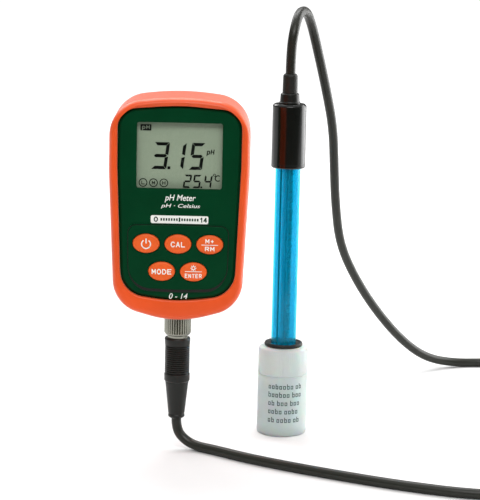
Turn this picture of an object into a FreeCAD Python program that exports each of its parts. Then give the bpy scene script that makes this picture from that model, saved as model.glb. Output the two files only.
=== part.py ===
"""A palm-sized digital pH meter with its cabled electrode, which stands in a storage bottle.

Millimetres. +X is to the meter's right, +Y runs from its display to its back, +Z is up.
The origin is the centre of the meter's flat back, where a palm or a holder carries it.
Depths are counted forward from the back, so a depth d lies at Y = -d.
"""
import FreeCAD, Part

import math
import os

from FreeCAD import Placement, Rotation, Vector

os.makedirs("parts", exist_ok=True)
doc = FreeCAD.newDocument("ph_meter")

# ---------------------------------------------------------------- driving dimensions
DIMENSIONS = {
    "meter": [
        ("body_depth", 36.0, "boot, back to front rim"),
        ("half_width", 32.5, "widest half width"),
        ("foot_half_width", 29.75, "half width where the bottom corners would meet"),
        ("top_peak", 53.2, "height of the crowned top's vertex"),
        ("top_corner", 49.3, "height of the top corner's vertex"),
        ("waist_rise", 17.0, "height where the sides begin to taper"),
        ("foot_corner", -45.2, "height of the bottom corner's vertex"),
        ("foot_peak", -53.5, "height of the crowned bottom's vertex"),
        ("boot_wall", 2.4, "rubber boot wall"),
        ("case_wall", 2.0, "housing wall"),
        ("back_radius", 3.6, "rounding of the boot's back edge"),
        ("rim_radius", 3.2, "rounding of the boot's front rim"),
        ("face_depth", 34.6, "depth of the green face"),
        ("rim_ledge", 33.4, "depth of the housing's shoulder, under the boot's rim"),
        ("face_bevel", 1.1, "sloped edge of the green face"),
        ("face_thick", 2.2, "front wall of the housing"),
        ("split_depth", 18.0, "depth of the joint between the housings"),
        ("back_ledge", 1.6, "depth of the boot's back lip"),
        ("boss_radius", 2.4, "screw boss"),
        ("window_width", 39.4, "display window"),
        ("window_height", 30.6, "display window"),
        ("window_rise", 25.6, "display window's centre"),
        ("glass_width", 40.4, "display glass"),
        ("glass_height", 31.6, "display glass"),
        ("board_depth", 24.0, "back of the circuit board"),
        ("board_thick", 1.6, "circuit board"),
        ("panel_thick", 0.7, "raised keypad panel"),
        ("panel_radius", 0.35, "rounding of the keypad panel's edge"),
    ],
    "keys": [
        ("key_long", 6.2, "half length of an oval key"),
        ("key_short", 4.45, "half height of an oval key"),
        ("key_pitch", 14.7, "spacing of the keys along a row"),
        ("upper_row", -15.3, "height of the row of three keys"),
        ("lower_row", -28.25, "height of the row of two keys"),
        ("key_gap", 0.3, "clearance round a key"),
        ("key_front", 36.6, "depth of a key's face"),
        ("key_back", 31.4, "depth of a key's back"),
        ("key_radius", 0.9, "rounding of a key's face"),
        ("flange_thick", 0.8, "flange that holds a key in"),
    ],
    "batteries": [
        ("cell_radius", 5.2, "AAA cell"),
        ("cell_length", 44.0, "AAA cell"),
        ("cell_pitch", 10.5, "spacing of the cells"),
        ("cell_depth", 8.7, "depth of the cells' axes"),
        ("cell_rise", -8.5, "height of the cells' middles"),
        ("door_width", 45.4, "battery door"),
        ("door_height", 49.4, "battery door"),
        ("door_front", 2.0, "depth of the door's inner face"),
    ],
    "plug": [
        ("plug_depth", 18.0, "depth of the plug's axis"),
        ("socket_radius", 4.8, "socket body"),
        ("nose_radius", 4.3, "socket nose inside the coupling ring"),
        ("insert_radius", 3.25, "insulating insert of the socket"),
        ("pin_circle", 1.8, "circle that the five pins stand on"),
        ("ring_radius", 6.4, "coupling ring"),
        ("ring_top", -53.0, "coupling ring's upper end"),
        ("ring_length", 8.9, "coupling ring"),
        ("neck_radius", 4.85, "bright neck below the ring"),
        ("grip_top", -63.3, "black plug body's upper end"),
        ("grip_radius", 5.9, "black plug body"),
        ("grip_length", 17.4, "black plug body"),
        ("collar_radius", 6.1, "plug collar"),
        ("collar_length", 4.0, "plug collar"),
        ("relief_radius", 5.3, "wide end of the strain relief"),
        ("relief_tip", 3.9, "narrow end of the strain relief"),
        ("relief_length", 17.8, "strain relief"),
    ],
    "electrode": [
        ("probe_x", 51.1, "electrode axis"),
        ("probe_y", 17.0, "electrode axis"),
        ("table", -118.06, "the surface that the bottle stands on"),
        ("tip_rise", 6.0, "electrode tip above the table"),
        ("tube_radius", 6.1, "electrode body"),
        ("tube_bore", 5.0, "electrode body"),
        ("cap_bore", 4.4, "upper bore of the cap"),
        ("tube_foot", 14.0, "lower end of the clear body above the table"),
        ("tube_head", 150.0, "upper end of the clear body above the table"),
        ("cap_foot", 132.2, "black cap's lower edge above the table"),
        ("cap_length", 31.0, "black cap"),
        ("cap_radius", 8.3, "black cap"),
        ("collar_rise", 5.0, "collar above the cap"),
        ("sleeve_rise", 9.4, "cable sleeve above the collar"),
        ("stem_radius", 2.3, "inner glass stem"),
        ("wire_radius", 0.4, "inner wires"),
        ("wire_reach", 3.6, "distance of the wire and the sensor from the axis"),
        ("wire_angle", 207.0, "bearing of the reference wire round the axis"),
        ("sensor_angle", -62.0, "bearing of the temperature sensor round the axis"),
    ],
    "bottle": [
        ("bottle_radius", 12.15, "storage bottle"),
        ("bottle_wall", 1.3, "storage bottle"),
        ("shoulder_rise", 30.0, "height of the bottle's shoulder"),
        ("neck_top", 40.6, "height of the bottle's neck"),
        ("bottle_neck", 9.6, "outer radius of the bottle's neck"),
        ("lid_foot", 30.2, "height of the cap's lower edge"),
        ("lid_top", 43.7, "height of the cap's top"),
        ("lid_hole", 6.45, "hole in the cap"),
        ("seal_radius", 9.4, "rubber ring on the cap"),
        ("seal_thick", 1.9, "rubber ring on the cap"),
    ],
    "cable": [
        ("cable_radius", 2.35, "probe cable"),
        ("coil_x", 190.0, "centre of the put-away coil"),
        ("coil_y", 40.0, "centre of the put-away coil"),
        ("coil_radius", 25.0, "middle of the coil's turns"),
        ("coil_half", 5.4, "half the width of the coil's winding"),
        ("coil_height", 9.8, "height of the coil"),
    ],
}

sheet = doc.addObject("Spreadsheet::Sheet", "dim")
row = 1
for group, cells in DIMENSIONS.items():
    for alias, value, note in cells:
        sheet.set(f"A{row}", f"{group}: {note}")
        sheet.set(f"B{row}", str(value))
        sheet.setAlias(f"B{row}", alias)
        row += 1
doc.recompute()


def size(alias):
    return float(sheet.get(alias))


WALL = size("boot_wall")
CASE_WALL = size("case_wall")
PLUG_Y = "-dim.plug_depth"
PROBE = ("dim.probe_x", "dim.probe_y")
PLUG = ("0", PLUG_Y)
sub_parts = []


# ---------------------------------------------------------------- helpers: primitives
def bind(item, **expressions):
    """Ties properties of an object to expressions on the sheet."""
    for name, expression in expressions.items():
        item.setExpression(name, str(expression))


def place(item, x, y, z):
    """Ties an object's position to expressions on the sheet."""
    for name, expression in (("x", x), ("y", y), ("z", z)):
        item.setExpression(f"Placement.Base.{name}", str(expression))


def keep(item, label):
    """Names a finished sub-part."""
    item.Label = label
    sub_parts.append(item)
    return item


def join(solids):
    if len(solids) == 1:
        return solids[0]
    fused = doc.addObject("Part::MultiFuse", "joined")
    fused.Shapes = solids
    fused.Refine = True
    return fused


def cut(base, tool):
    made = doc.addObject("Part::Cut", "cut")
    made.Base = base
    made.Tool = tool
    made.Refine = True
    return made


def stage(centre, foot, low, high, length):
    """One upright cylinder, or a cone where its two radii differ."""
    if low == high:
        solid = doc.addObject("Part::Cylinder", "stage")
        bind(solid, Radius=low, Height=length)
    else:
        solid = doc.addObject("Part::Cone", "stage")
        bind(solid, Radius1=low, Radius2=high, Height=length)
    place(solid, centre[0], centre[1], foot)
    return solid


def stack(centre, foot, stages):
    """Stages one upon another, each (lower radius, upper radius, length)."""
    solids = []
    for low, high, length in stages:
        solids.append(stage(centre, foot, low, high, length))
        foot = f"{foot} + {length}"
    return join(solids)


def turned(label, centre, foot, stages, bore=None):
    """A turned piece, with an optional bore given as (foot, stages)."""
    solid = stack(centre, foot, stages)
    if bore:
        solid = cut(solid, stack(centre, bore[0], bore[1]))
    return keep(solid, label)


def block(centre, near, extent, corner=0.0):
    """A box centred on X and Z, given as (x, z), (depth of its back, thickness), (width, height)."""
    solid = doc.addObject("Part::Box", "block")
    bind(solid, Length=extent[0], Width=near[1], Height=extent[1])
    place(
        solid,
        f"{centre[0]} - ({extent[0]}) / 2",
        f"-({near[0]}) - ({near[1]})",
        f"{centre[1]} - ({extent[1]}) / 2",
    )
    if not corner:
        return solid
    rounded = doc.addObject("Part::Fillet", "rounded")
    rounded.Base = solid
    doc.recompute()
    edges = []
    for number, edge in enumerate(solid.Shape.Edges, 1):
        along = edge.tangentAt(edge.FirstParameter)
        if abs(along.y) > 0.9:
            edges.append((number, corner, corner))
    rounded.Edges = edges
    return rounded


def peg(x, z, back, length, radius):
    """A cylinder that points forward from a depth."""
    solid = doc.addObject("Part::Cylinder", "peg")
    solid.Placement = Placement(Vector(), Rotation(Vector(1, 0, 0), 90))
    bind(solid, Radius=radius, Height=length)
    place(solid, x, f"-({back})", z)
    return solid


def shaped(label, shape):
    """A sub-part whose shape is worked out from the sheet's values."""
    item = doc.addObject("Part::Feature", label)
    item.Shape = shape
    return keep(item, label)


# ---------------------------------------------------------------- helpers: outlines and bodies
def offset_corners(corners, inset):
    """Moves every side of a clockwise outline inwards, and tightens its corners to match."""
    moved = []
    count = len(corners)
    for k in range(count):
        before, here, after = corners[k - 1], corners[k], corners[(k + 1) % count]
        into = Vector(here[0] - before[0], here[1] - before[1], 0).normalize()
        out = Vector(after[0] - here[0], after[1] - here[1], 0).normalize()
        first, second = Vector(into.y, -into.x, 0), Vector(out.y, -out.x, 0)
        bisector = (first + second) * (1.0 / (1.0 + first.dot(second)))
        radius = max(here[2] - inset, 0.3)
        moved.append((here[0] + bisector.x * inset, here[1] + bisector.y * inset, radius))
    return moved


def mirrored(right_side):
    """A full clockwise outline from its right half, whose first and last points are on the axis."""
    left_side = [(-x, z, radius) for x, z, radius in reversed(right_side[1:-1])]
    return right_side + left_side


def draw(sketch, corners):
    """Draws an outline with rounded corners, each given as (x, z, radius)."""
    count = len(corners)
    ends = []
    for k in range(count):
        here = Vector(corners[k][0], corners[k][1], 0)
        before = Vector(corners[k - 1][0], corners[k - 1][1], 0)
        after = Vector(corners[(k + 1) % count][0], corners[(k + 1) % count][1], 0)
        back, on = (before - here).normalize(), (after - here).normalize()
        half_turn = (math.pi - back.getAngle(on)) / 2
        reach = corners[k][2] * math.tan(half_turn)
        middle_way = (back + on).normalize()
        middle = here + middle_way * (corners[k][2] / math.cos(half_turn) - corners[k][2])
        ends.append((here + back * reach, middle, here + on * reach))
    for k in range(count):
        start, middle, end = ends[k]
        sketch.addGeometry(Part.Arc(start, middle, end), False)
        following = ends[(k + 1) % count][0]
        if (following - end).Length > 1e-4:
            sketch.addGeometry(Part.LineSegment(end, following), False)


def outline(*loops):
    """One closed loop, or the ring between two."""

    def drawn(sketch):
        for corners in loops:
            draw(sketch, corners)

    return drawn


def ovals(centres, long_half, short_half):
    """Ellipses that lie along X."""

    def drawn(sketch):
        for x, z in centres:
            sketch.addGeometry(Part.Ellipse(Vector(x, z, 0), long_half, short_half), False)

    return drawn


def circles(centres, radius):
    def drawn(sketch):
        for x, z in centres:
            sketch.addGeometry(Part.Circle(Vector(x, z, 0), Vector(0, 0, 1), radius), False)

    return drawn


def rectangle(x, z, width, height, radius):
    """Corners of a rounded rectangle, clockwise."""
    right, top = width / 2, height / 2
    signs = ((-1, 1), (1, 1), (1, -1), (-1, -1))
    return [(x + right * a, z + top * b, radius) for a, b in signs]


def new_body(name):
    return doc.addObject("PartDesign::Body", name)


def face_sketch(body, depth, drawing):
    """A sketch parallel to the face, at a depth, seen from the front."""
    sketch = body.newObject("Sketcher::SketchObject", "outline")
    plane = next(f for f in body.Origin.OriginFeatures if f.Role == "XZ_Plane")
    sketch.AttachmentSupport = [(plane, "")]
    sketch.MapMode = "FlatFace"
    sketch.AttachmentOffset = Placement(Vector(0, 0, 0), Rotation())
    sketch.setExpression("AttachmentOffset.Base.z", str(depth))
    drawing(sketch)
    return sketch


def pad(body, depth, thickness, drawing):
    """Adds material forward from a depth."""
    made = body.newObject("PartDesign::Pad", "pad")
    made.Profile = face_sketch(body, depth, drawing)
    made.setExpression("Length", str(thickness))
    return made


def pocket(body, depth, thickness, drawing):
    """Cuts backward from a depth."""
    doc.recompute()
    before = body.Shape.Volume
    made = body.newObject("PartDesign::Pocket", "pocket")
    made.Profile = face_sketch(body, depth, drawing)
    made.setExpression("Length", str(thickness))
    doc.recompute()
    if body.Shape.Volume > before - 1e-3:
        raise ValueError(f"a pocket in {body.Name} cut nothing")
    return made


def edges_at(body, depth):
    """The body's last feature with the names of its edges that lie at one depth."""
    doc.recompute()
    tip = body.Tip
    names = []
    for number, edge in enumerate(tip.Shape.Edges, 1):
        box = edge.BoundBox
        if abs(box.YMin + depth) < 1e-3 and abs(box.YMax + depth) < 1e-3:
            names.append(f"Edge{number}")
    return tip, names


def soften(body, radius, depth):
    """Rounds the edges that lie at one depth."""
    edges = edges_at(body, depth)
    fillet = body.newObject("PartDesign::Fillet", "softened")
    fillet.Base = edges
    fillet.Radius = radius
    return fillet


def bevel(body, reach, depth):
    """Slopes the edges that lie at one depth."""
    edges = edges_at(body, depth)
    chamfer = body.newObject("PartDesign::Chamfer", "bevelled")
    chamfer.Base = edges
    bind(chamfer, Size=reach)
    return chamfer


# ---------------------------------------------------------------- outlines of the meter
METER_OUTLINE = mirrored(
    [
        (0.0, size("top_peak"), 120.0),
        (size("half_width"), size("top_corner"), 17.0),
        (size("half_width"), size("waist_rise"), 200.0),
        (size("foot_half_width"), size("foot_corner"), 16.0),
        (0.0, size("foot_peak"), 50.0),
    ]
)
OPENING_OUTLINE = mirrored(
    [
        (0.0, 48.9, 100.0),
        (28.5, 46.6, 9.4),
        (28.5, 21.0, 150.0),
        (26.3, -39.2, 12.5),
        (0.0, -42.9, 80.0),
    ]
)
PANEL_OUTLINE = mirrored(
    [
        (0.0, -6.6, 400.0),
        (23.2, -6.9, 3.8),
        (23.0, -24.0, 200.0),
        (22.6, -36.2, 10.5),
        (0.0, -37.0, 120.0),
    ]
)
CASE_OUTLINE = offset_corners(METER_OUTLINE, WALL)
CAVITY_OUTLINE = offset_corners(METER_OUTLINE, WALL + CASE_WALL)
FACE_OUTLINE = offset_corners(OPENING_OUTLINE, 0.25)
BACK_OPENING = offset_corners(METER_OUTLINE, 4.5)
BACK_PLATFORM = offset_corners(METER_OUTLINE, 4.6)
SEAL_OUTER = offset_corners(METER_OUTLINE, WALL + 0.6)
SEAL_INNER = offset_corners(METER_OUTLINE, WALL + 1.4)

PITCH = size("key_pitch")
KEY_CENTRES = {
    "key_power": (-PITCH, size("upper_row")),
    "key_calibrate": (0.0, size("upper_row")),
    "key_recall": (PITCH, size("upper_row")),
    "key_mode": (-PITCH / 2, size("lower_row")),
    "key_enter": (PITCH / 2, size("lower_row")),
}
KEY_OPENINGS = ovals(
    KEY_CENTRES.values(),
    size("key_long") + size("key_gap"),
    size("key_short") + size("key_gap"),
)
CASE_SCREWS = [(-10.0, 45.0), (10.0, 45.0), (-17.0, -36.5), (17.0, -36.5)]
WINDOW = rectangle(0, size("window_rise"), size("window_width"), size("window_height"), 1.2)


def socket_hole(body, radius):
    """Opens the bottom wall for the socket."""
    hole = stage(PLUG, "dim.ring_top - 4", radius, radius, "14")
    return cut(body, hole)


# ---------------------------------------------------------------- meter: boot and housings
def make_boot():
    body = new_body("boot_body")
    pad(body, "0", "dim.body_depth", outline(METER_OUTLINE))
    soften(body, size("rim_radius"), size("body_depth"))
    soften(body, size("back_radius"), 0.0)
    pocket(body, "dim.rim_ledge", "dim.rim_ledge - dim.back_ledge", outline(CASE_OUTLINE))
    pocket(body, "dim.body_depth", "dim.body_depth - dim.rim_ledge + 0.1", outline(OPENING_OUTLINE))
    pocket(body, "dim.back_ledge + 0.1", "dim.back_ledge + 0.1", outline(BACK_OPENING))
    keep(socket_hole(body, 6.6), "rubber_boot")


def make_front_housing():
    body = new_body("front_housing_body")
    pad(body, "dim.split_depth", "dim.rim_ledge - dim.split_depth", outline(CASE_OUTLINE))
    pad(body, "dim.rim_ledge", "dim.face_depth - dim.rim_ledge", outline(FACE_OUTLINE))
    bevel(body, "dim.face_bevel", size("face_depth"))
    reach = "dim.face_depth - dim.split_depth - dim.face_thick"
    pocket(body, "dim.face_depth - dim.face_thick", reach, outline(CAVITY_OUTLINE))
    pad(body, "dim.split_depth", reach, circles(CASE_SCREWS, size("boss_radius")))
    pocket(body, "dim.face_depth - 4", "dim.face_depth - 4 - dim.split_depth", circles(CASE_SCREWS, 1.1))
    pocket(body, "dim.face_depth", "dim.face_thick + 0.1", outline(WINDOW))
    pocket(body, "dim.face_depth", "dim.face_thick + 0.1", KEY_OPENINGS)
    pocket(body, "dim.split_depth + 0.4", "0.4", outline(SEAL_OUTER, SEAL_INNER))
    keep(socket_hole(body, "dim.socket_radius"), "front_housing")


def make_rear_housing():
    body = new_body("rear_housing_body")
    pad(body, "dim.back_ledge", "dim.split_depth - dim.back_ledge", outline(CASE_OUTLINE))
    pad(body, "0", "dim.back_ledge", outline(BACK_PLATFORM))
    reach = "dim.split_depth - dim.back_ledge - dim.case_wall"
    pocket(body, "dim.split_depth", reach, outline(CAVITY_OUTLINE))
    bosses = circles(CASE_SCREWS, size("boss_radius"))
    pad(body, "dim.back_ledge", "dim.split_depth - dim.back_ledge", bosses)
    pocket(body, "dim.split_depth", "dim.split_depth", circles(CASE_SCREWS, 1.3))
    pocket(body, "1.8", "1.8", circles(CASE_SCREWS, 2.0))
    door = rectangle(0, size("cell_rise"), size("door_width") + 0.6, size("door_height") + 0.6, 3.2)
    pocket(body, "dim.back_ledge + dim.case_wall", "dim.back_ledge + dim.case_wall", outline(door))
    pocket(body, "dim.split_depth", "0.4", outline(SEAL_OUTER, SEAL_INNER))
    keep(socket_hole(body, "dim.socket_radius"), "rear_housing")


def make_gasket():
    """A cord seal in the groove between the two housings."""
    body = new_body("gasket_body")
    pad(body, "dim.split_depth - 0.4", "0.8", outline(SEAL_OUTER, SEAL_INNER))
    keep(socket_hole(body, "dim.socket_radius"), "housing_gasket")


def make_case_screws():
    heads = []
    for x, z in CASE_SCREWS:
        heads.append(peg(x, z, "0.3", "1.5", "1.8"))
        heads.append(peg(x, z, "1.8", "22", "1.05"))
    keep(join(heads), "housing_screws")


# ---------------------------------------------------------------- meter: display
def make_display():
    centre = ("0", "dim.window_rise")
    lens = block(
        centre,
        ("dim.face_depth - 2", "1.9"),
        ("dim.window_width - 0.1", "dim.window_height - 0.1"),
        1.1,
    )
    keep(lens, "display_window")
    glass_extent = ("dim.glass_width", "dim.glass_height")
    keep(block(centre, ("29.6", "1.8"), glass_extent), "lcd_glass")
    ring = block(centre, ("27", "5"), ("dim.glass_width + 3.6", "dim.glass_height + 2.4"), 1.0)
    space = block(centre, ("26", "7"), ("dim.glass_width + 0.1", "dim.glass_height + 0.1"))
    keep(cut(ring, space), "lcd_frame")
    keep(block(centre, ("26.4", "3.2"), ("38", "27")), "backlight_panel")
    strips = []
    for side in ("-", "+"):
        edge = ("0", f"dim.window_rise {side} 14.7")
        strips.append(block(edge, ("dim.board_depth + dim.board_thick", "4"), ("38", "1.6")))
    keep(join(strips), "zebra_strips")


# ---------------------------------------------------------------- meter: board and keypad
def make_board():
    front = "dim.board_depth + dim.board_thick"
    keep(block(("0", "4.6"), ("dim.board_depth", "dim.board_thick"), ("50", "75"), 8.0), "main_board")
    chips = []
    for x, z, width, height, thick in (
        (-8, 28, 10, 10, 1.6),
        (9, 30, 8, 6, 1.5),
        (12, 18, 5, 5, 1.2),
        (-14, 14, 6, 4, 1.2),
        (0, 10, 9, 3.4, 2.6),
        (-17, 24, 4, 7, 1.8),
    ):
        chips.append(block((x, z), (f"dim.board_depth - {thick}", thick), (width, height)))
    keep(join(chips), "board_chips")
    domes = [peg(x, z, front, "0.8", "3.4") for x, z in KEY_CENTRES.values()]
    keep(join(domes), "key_switches")


def make_keypad_mat():
    sheet_part = block(("0", "-20.6"), ("27.4", "0.8"), ("44", "25"), 3.0)
    posts = [peg(x, z, "26.4", "4.2", "2") for x, z in KEY_CENTRES.values()]
    keep(join([sheet_part] + posts), "keypad_mat")


def make_keypad_panel():
    body = new_body("panel_body")
    pad(body, "dim.face_depth", "dim.panel_thick", outline(PANEL_OUTLINE))
    soften(body, size("panel_radius"), size("face_depth") + size("panel_thick"))
    pocket(body, "dim.face_depth + dim.panel_thick", "dim.panel_thick + 0.1", KEY_OPENINGS)
    keep(body, "keypad_panel")


def make_keys():
    """Five oval keys, each held in by a flange behind the face."""
    for name, centre in KEY_CENTRES.items():
        body = new_body(name + "_body")
        flange = ovals([centre], size("key_long") + 0.9, size("key_short") + 0.8)
        pad(body, "dim.key_back", "dim.flange_thick", flange)
        cap = ovals([centre], size("key_long"), size("key_short"))
        pad(body, "dim.key_back", "dim.key_front - dim.key_back", cap)
        soften(body, size("key_radius"), size("key_front"))
        keep(body, name)


# ---------------------------------------------------------------- meter: batteries
def make_batteries():
    middle = ("0", "dim.cell_rise")
    plate = block(middle, ("0", "dim.door_front"), ("dim.door_width", "dim.door_height"), 2.9)
    corners = [(x, size("cell_rise") + z) for x in (-18.5, 18.5) for z in (-22.0, 22.0)]
    for x, z in corners:
        plate = cut(plate, peg(x, z, "-0.1", "2.2", "1.5"))
    keep(plate, "battery_door")
    screws = [peg(x, z, "0.15", "1.8", "1.35") for x, z in corners]
    keep(join(screws), "door_screws")
    outer = block(middle, ("dim.door_front", "0.8"), ("dim.door_width", "dim.door_height"), 2.9)
    inner = block(middle, ("0", "4"), ("dim.door_width - 2.6", "dim.door_height - 2.6"), 1.8)
    keep(cut(outer, inner), "door_gasket")
    shell = block(middle, ("2.9", "12.6"), ("dim.door_width + 0.4", "dim.door_height + 0.4"), 3.4)
    room = block(middle, ("2", "12.2"), ("dim.door_width - 2.1", "dim.door_height - 2.1"), 1.6)
    keep(cut(shell, room), "battery_tray")
    cells = []
    springs = []
    half = size("cell_length") / 2
    for k in range(4):
        x = size("cell_pitch") * (k - 1.5)
        centre = (x, "-dim.cell_depth")
        barrel = ("dim.cell_radius", "dim.cell_radius", "dim.cell_length - 1")
        nub = ("1.9", "1.9", "1")
        cells.append(stack(centre, "dim.cell_rise - dim.cell_length / 2", [barrel, nub]))
        for low, high in ((-half - 1.5, -half), (half, half + 1.5)):
            foot = f"dim.cell_rise + ({low})"
            springs.append(stage(centre, foot, "2.6", "1.8", f"{high} - ({low})"))
    keep(join(cells), "battery_cells")
    keep(join(springs), "battery_contacts")


# ---------------------------------------------------------------- meter: probe socket
def pins_at(foot, radius, length):
    """Five upright pins on the plug's pin circle."""
    pins = []
    for k in range(5):
        angle = math.radians(72 * k + 18)
        x = size("pin_circle") * math.cos(angle)
        y = size("pin_circle") * math.sin(angle) - size("plug_depth")
        pins.append(stage((x, y), foot, radius, radius, length))
    return join(pins)


def make_socket():
    body = ("dim.socket_radius", "dim.socket_radius", "8.9")
    nose = ("dim.nose_radius", "dim.nose_radius", "7.7")
    turned(
        "probe_socket",
        PLUG,
        "-60.4",
        [nose, body],
        bore=("-60.5", [("dim.insert_radius", "dim.insert_radius", "18")]),
    )
    turned("socket_insert", PLUG, "-51", [("dim.insert_radius", "dim.insert_radius", "5")])
    keep(pins_at("-46", "0.35", "3.3"), "socket_contacts")
    nut = doc.addObject("Part::Prism", "nut")
    nut.Polygon = 6
    bind(nut, Circumradius="7.2", Height="2.2")
    place(nut, "0", PLUG_Y, "-46.6")
    threaded = stage(PLUG, "-47", "dim.socket_radius", "dim.socket_radius", "3")
    keep(cut(nut, threaded), "socket_nut")
    turned(
        "socket_seal",
        PLUG,
        "-51.2",
        [("6.4", "6.4", "1.6")],
        bore=("-52", [("dim.socket_radius", "dim.socket_radius", "3")]),
    )


# ---------------------------------------------------------------- plug
def make_plug():
    ring_foot = "dim.ring_top - dim.ring_length"
    ring_wall = "dim.ring_radius"
    turned(
        "coupling_ring",
        PLUG,
        ring_foot,
        [(f"{ring_wall} - 0.5", ring_wall, "0.5"), (ring_wall, ring_wall, "dim.ring_length - 0.5")],
        bore=(
            f"{ring_foot} - 0.5",
            [("3.65", "3.65", "1.5"), ("dim.nose_radius + 0.1", "dim.nose_radius + 0.1", "12")],
        ),
    )
    turned(
        "plug_shell",
        PLUG,
        "dim.grip_top - 6",
        [
            ("4", "4", "6"),
            ("dim.neck_radius", "dim.neck_radius", "1.3"),
            ("3.55", "3.55", "1.3"),
            ("4.1", "4.1", "0.25"),
            ("3.1", "3.1", "7"),
        ],
        bore=("dim.grip_top - 7", [("2.7", "2.7", "20")]),
    )
    turned("plug_insert", PLUG, "-56.5", [("2.7", "2.7", "3")])
    keep(pins_at("-53.5", "0.3", "2.2"), "plug_pins")
    grip_foot = "dim.grip_top - dim.grip_length"
    turned(
        "plug_grip",
        PLUG,
        grip_foot,
        [
            ("dim.grip_radius", "dim.grip_radius", "dim.grip_length - 3.8"),
            ("dim.grip_radius + 0.25", "dim.grip_radius + 0.25", "3.8"),
        ],
        bore=(f"{grip_foot} - 0.1", [("2.8", "2.8", "11.5"), ("4", "4", "7")]),
    )
    collar_foot = f"{grip_foot} - dim.collar_length"
    turned(
        "plug_collar",
        PLUG,
        collar_foot,
        [("dim.collar_radius", "dim.collar_radius", "dim.collar_length")],
        bore=(f"{collar_foot} - 0.1", [("2.8", "2.8", "5")]),
    )
    relief_foot = f"{collar_foot} - dim.relief_length"
    turned(
        "strain_relief",
        PLUG,
        relief_foot,
        [
            ("dim.relief_tip - 0.6", "dim.relief_tip", "1"),
            ("dim.relief_tip", "dim.relief_radius", "dim.relief_length - 3"),
            ("dim.relief_radius", "dim.relief_radius + 0.5", "2"),
        ],
        bore=(f"{relief_foot} + 4", [("dim.cable_radius", "dim.cable_radius", "20")]),
    )


# ---------------------------------------------------------------- electrode
def above(height):
    """A height above the table."""
    return f"dim.table + {height}"


def make_electrode():
    radius, bore = "dim.tube_radius", "dim.tube_bore"
    turned(
        "electrode_tube",
        PROBE,
        above("dim.tube_foot"),
        [(radius, radius, "dim.tube_head - dim.tube_foot")],
        bore=(above("dim.tube_foot - 1"), [(bore, bore, "140")]),
    )
    guard = stack(PROBE, above("dim.tip_rise"), [("5.6", radius, "0.5"), (radius, radius, "7.5")])
    guard = cut(guard, stack(PROBE, above("dim.tip_rise - 1"), [(bore, bore, "10")]))
    for turn in (0, 90):
        slot = doc.addObject("Part::Box", "slot")
        slot.Placement = Placement(Vector(), Rotation(Vector(0, 0, 1), turn))
        bind(slot, Length="16", Width="4", Height="6")
        x_shift, y_shift = (8, 2) if turn == 0 else (-2, 8)
        place(slot, f"dim.probe_x - {x_shift}", f"dim.probe_y - {y_shift}", above("dim.tip_rise - 0.5"))
        guard = cut(guard, slot)
    keep(guard, "bulb_guard")
    turned(
        "inner_stem",
        PROBE,
        above("20"),
        [("dim.stem_radius", "dim.stem_radius", "120")],
        bore=(above("19"), [("1.6", "1.6", "122")]),
    )
    ball = doc.addObject("Part::Sphere", "ball")
    bind(ball, Radius="3.7")
    place(ball, PROBE[0], PROBE[1], above("11.6"))
    neck = stage(PROBE, above("13"), "dim.stem_radius", "dim.stem_radius", "7")
    keep(join([ball, neck]), "glass_bulb")
    turned("signal_wire", PROBE, above("20"), [("dim.wire_radius", "dim.wire_radius", "120")])
    for label, bearing, thick, foot in (
        ("reference_wire", "dim.wire_angle", "dim.wire_radius", "26"),
        ("temperature_sensor", "dim.sensor_angle", "1", "19.5"),
    ):
        centre = (
            f"dim.probe_x + dim.wire_reach * cos({bearing} * 1 deg)",
            f"dim.probe_y + dim.wire_reach * sin({bearing} * 1 deg)",
        )
        turned(label, centre, above(foot), [(thick, thick, f"140 - {foot}")])
    turned(
        "junction_plug",
        PROBE,
        above("15.5"),
        [(bore, bore, "3.5")],
        bore=(above("15"), [("dim.stem_radius", "dim.stem_radius", "6")]),
    )
    cap_radius = "dim.cap_radius"
    turned(
        "electrode_cap",
        PROBE,
        above("dim.cap_foot"),
        [
            (f"{cap_radius} - 0.4", cap_radius, "0.6"),
            (cap_radius, f"{cap_radius} - 0.12", "dim.cap_length - 1.4"),
            (f"{cap_radius} - 0.12", f"{cap_radius} - 0.9", "0.8"),
        ],
        bore=(
            above("dim.cap_foot - 1"),
            [(radius, radius, "dim.tube_head - dim.cap_foot + 1"), ("dim.cap_bore", "dim.cap_bore", "7")],
        ),
    )
    collar_foot = above("dim.cap_foot + dim.cap_length")
    turned(
        "cap_collar",
        PROBE,
        collar_foot,
        [("5.15", "4.5", "dim.collar_rise")],
        bore=(f"{collar_foot} - 1", [("dim.cable_radius", "dim.cable_radius", "8")]),
    )
    turned(
        "cable_sleeve",
        PROBE,
        f"{collar_foot} + dim.collar_rise",
        [("3.65", "3.45", "dim.sleeve_rise - 0.8"), ("3.45", "2.9", "0.8")],
        bore=(f"{collar_foot} + 4", [("dim.cable_radius", "dim.cable_radius", "8")]),
    )
    turned("cap_seal", PROBE, above("dim.tube_head"), [("dim.cap_bore", "dim.cap_bore", "2")])


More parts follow.
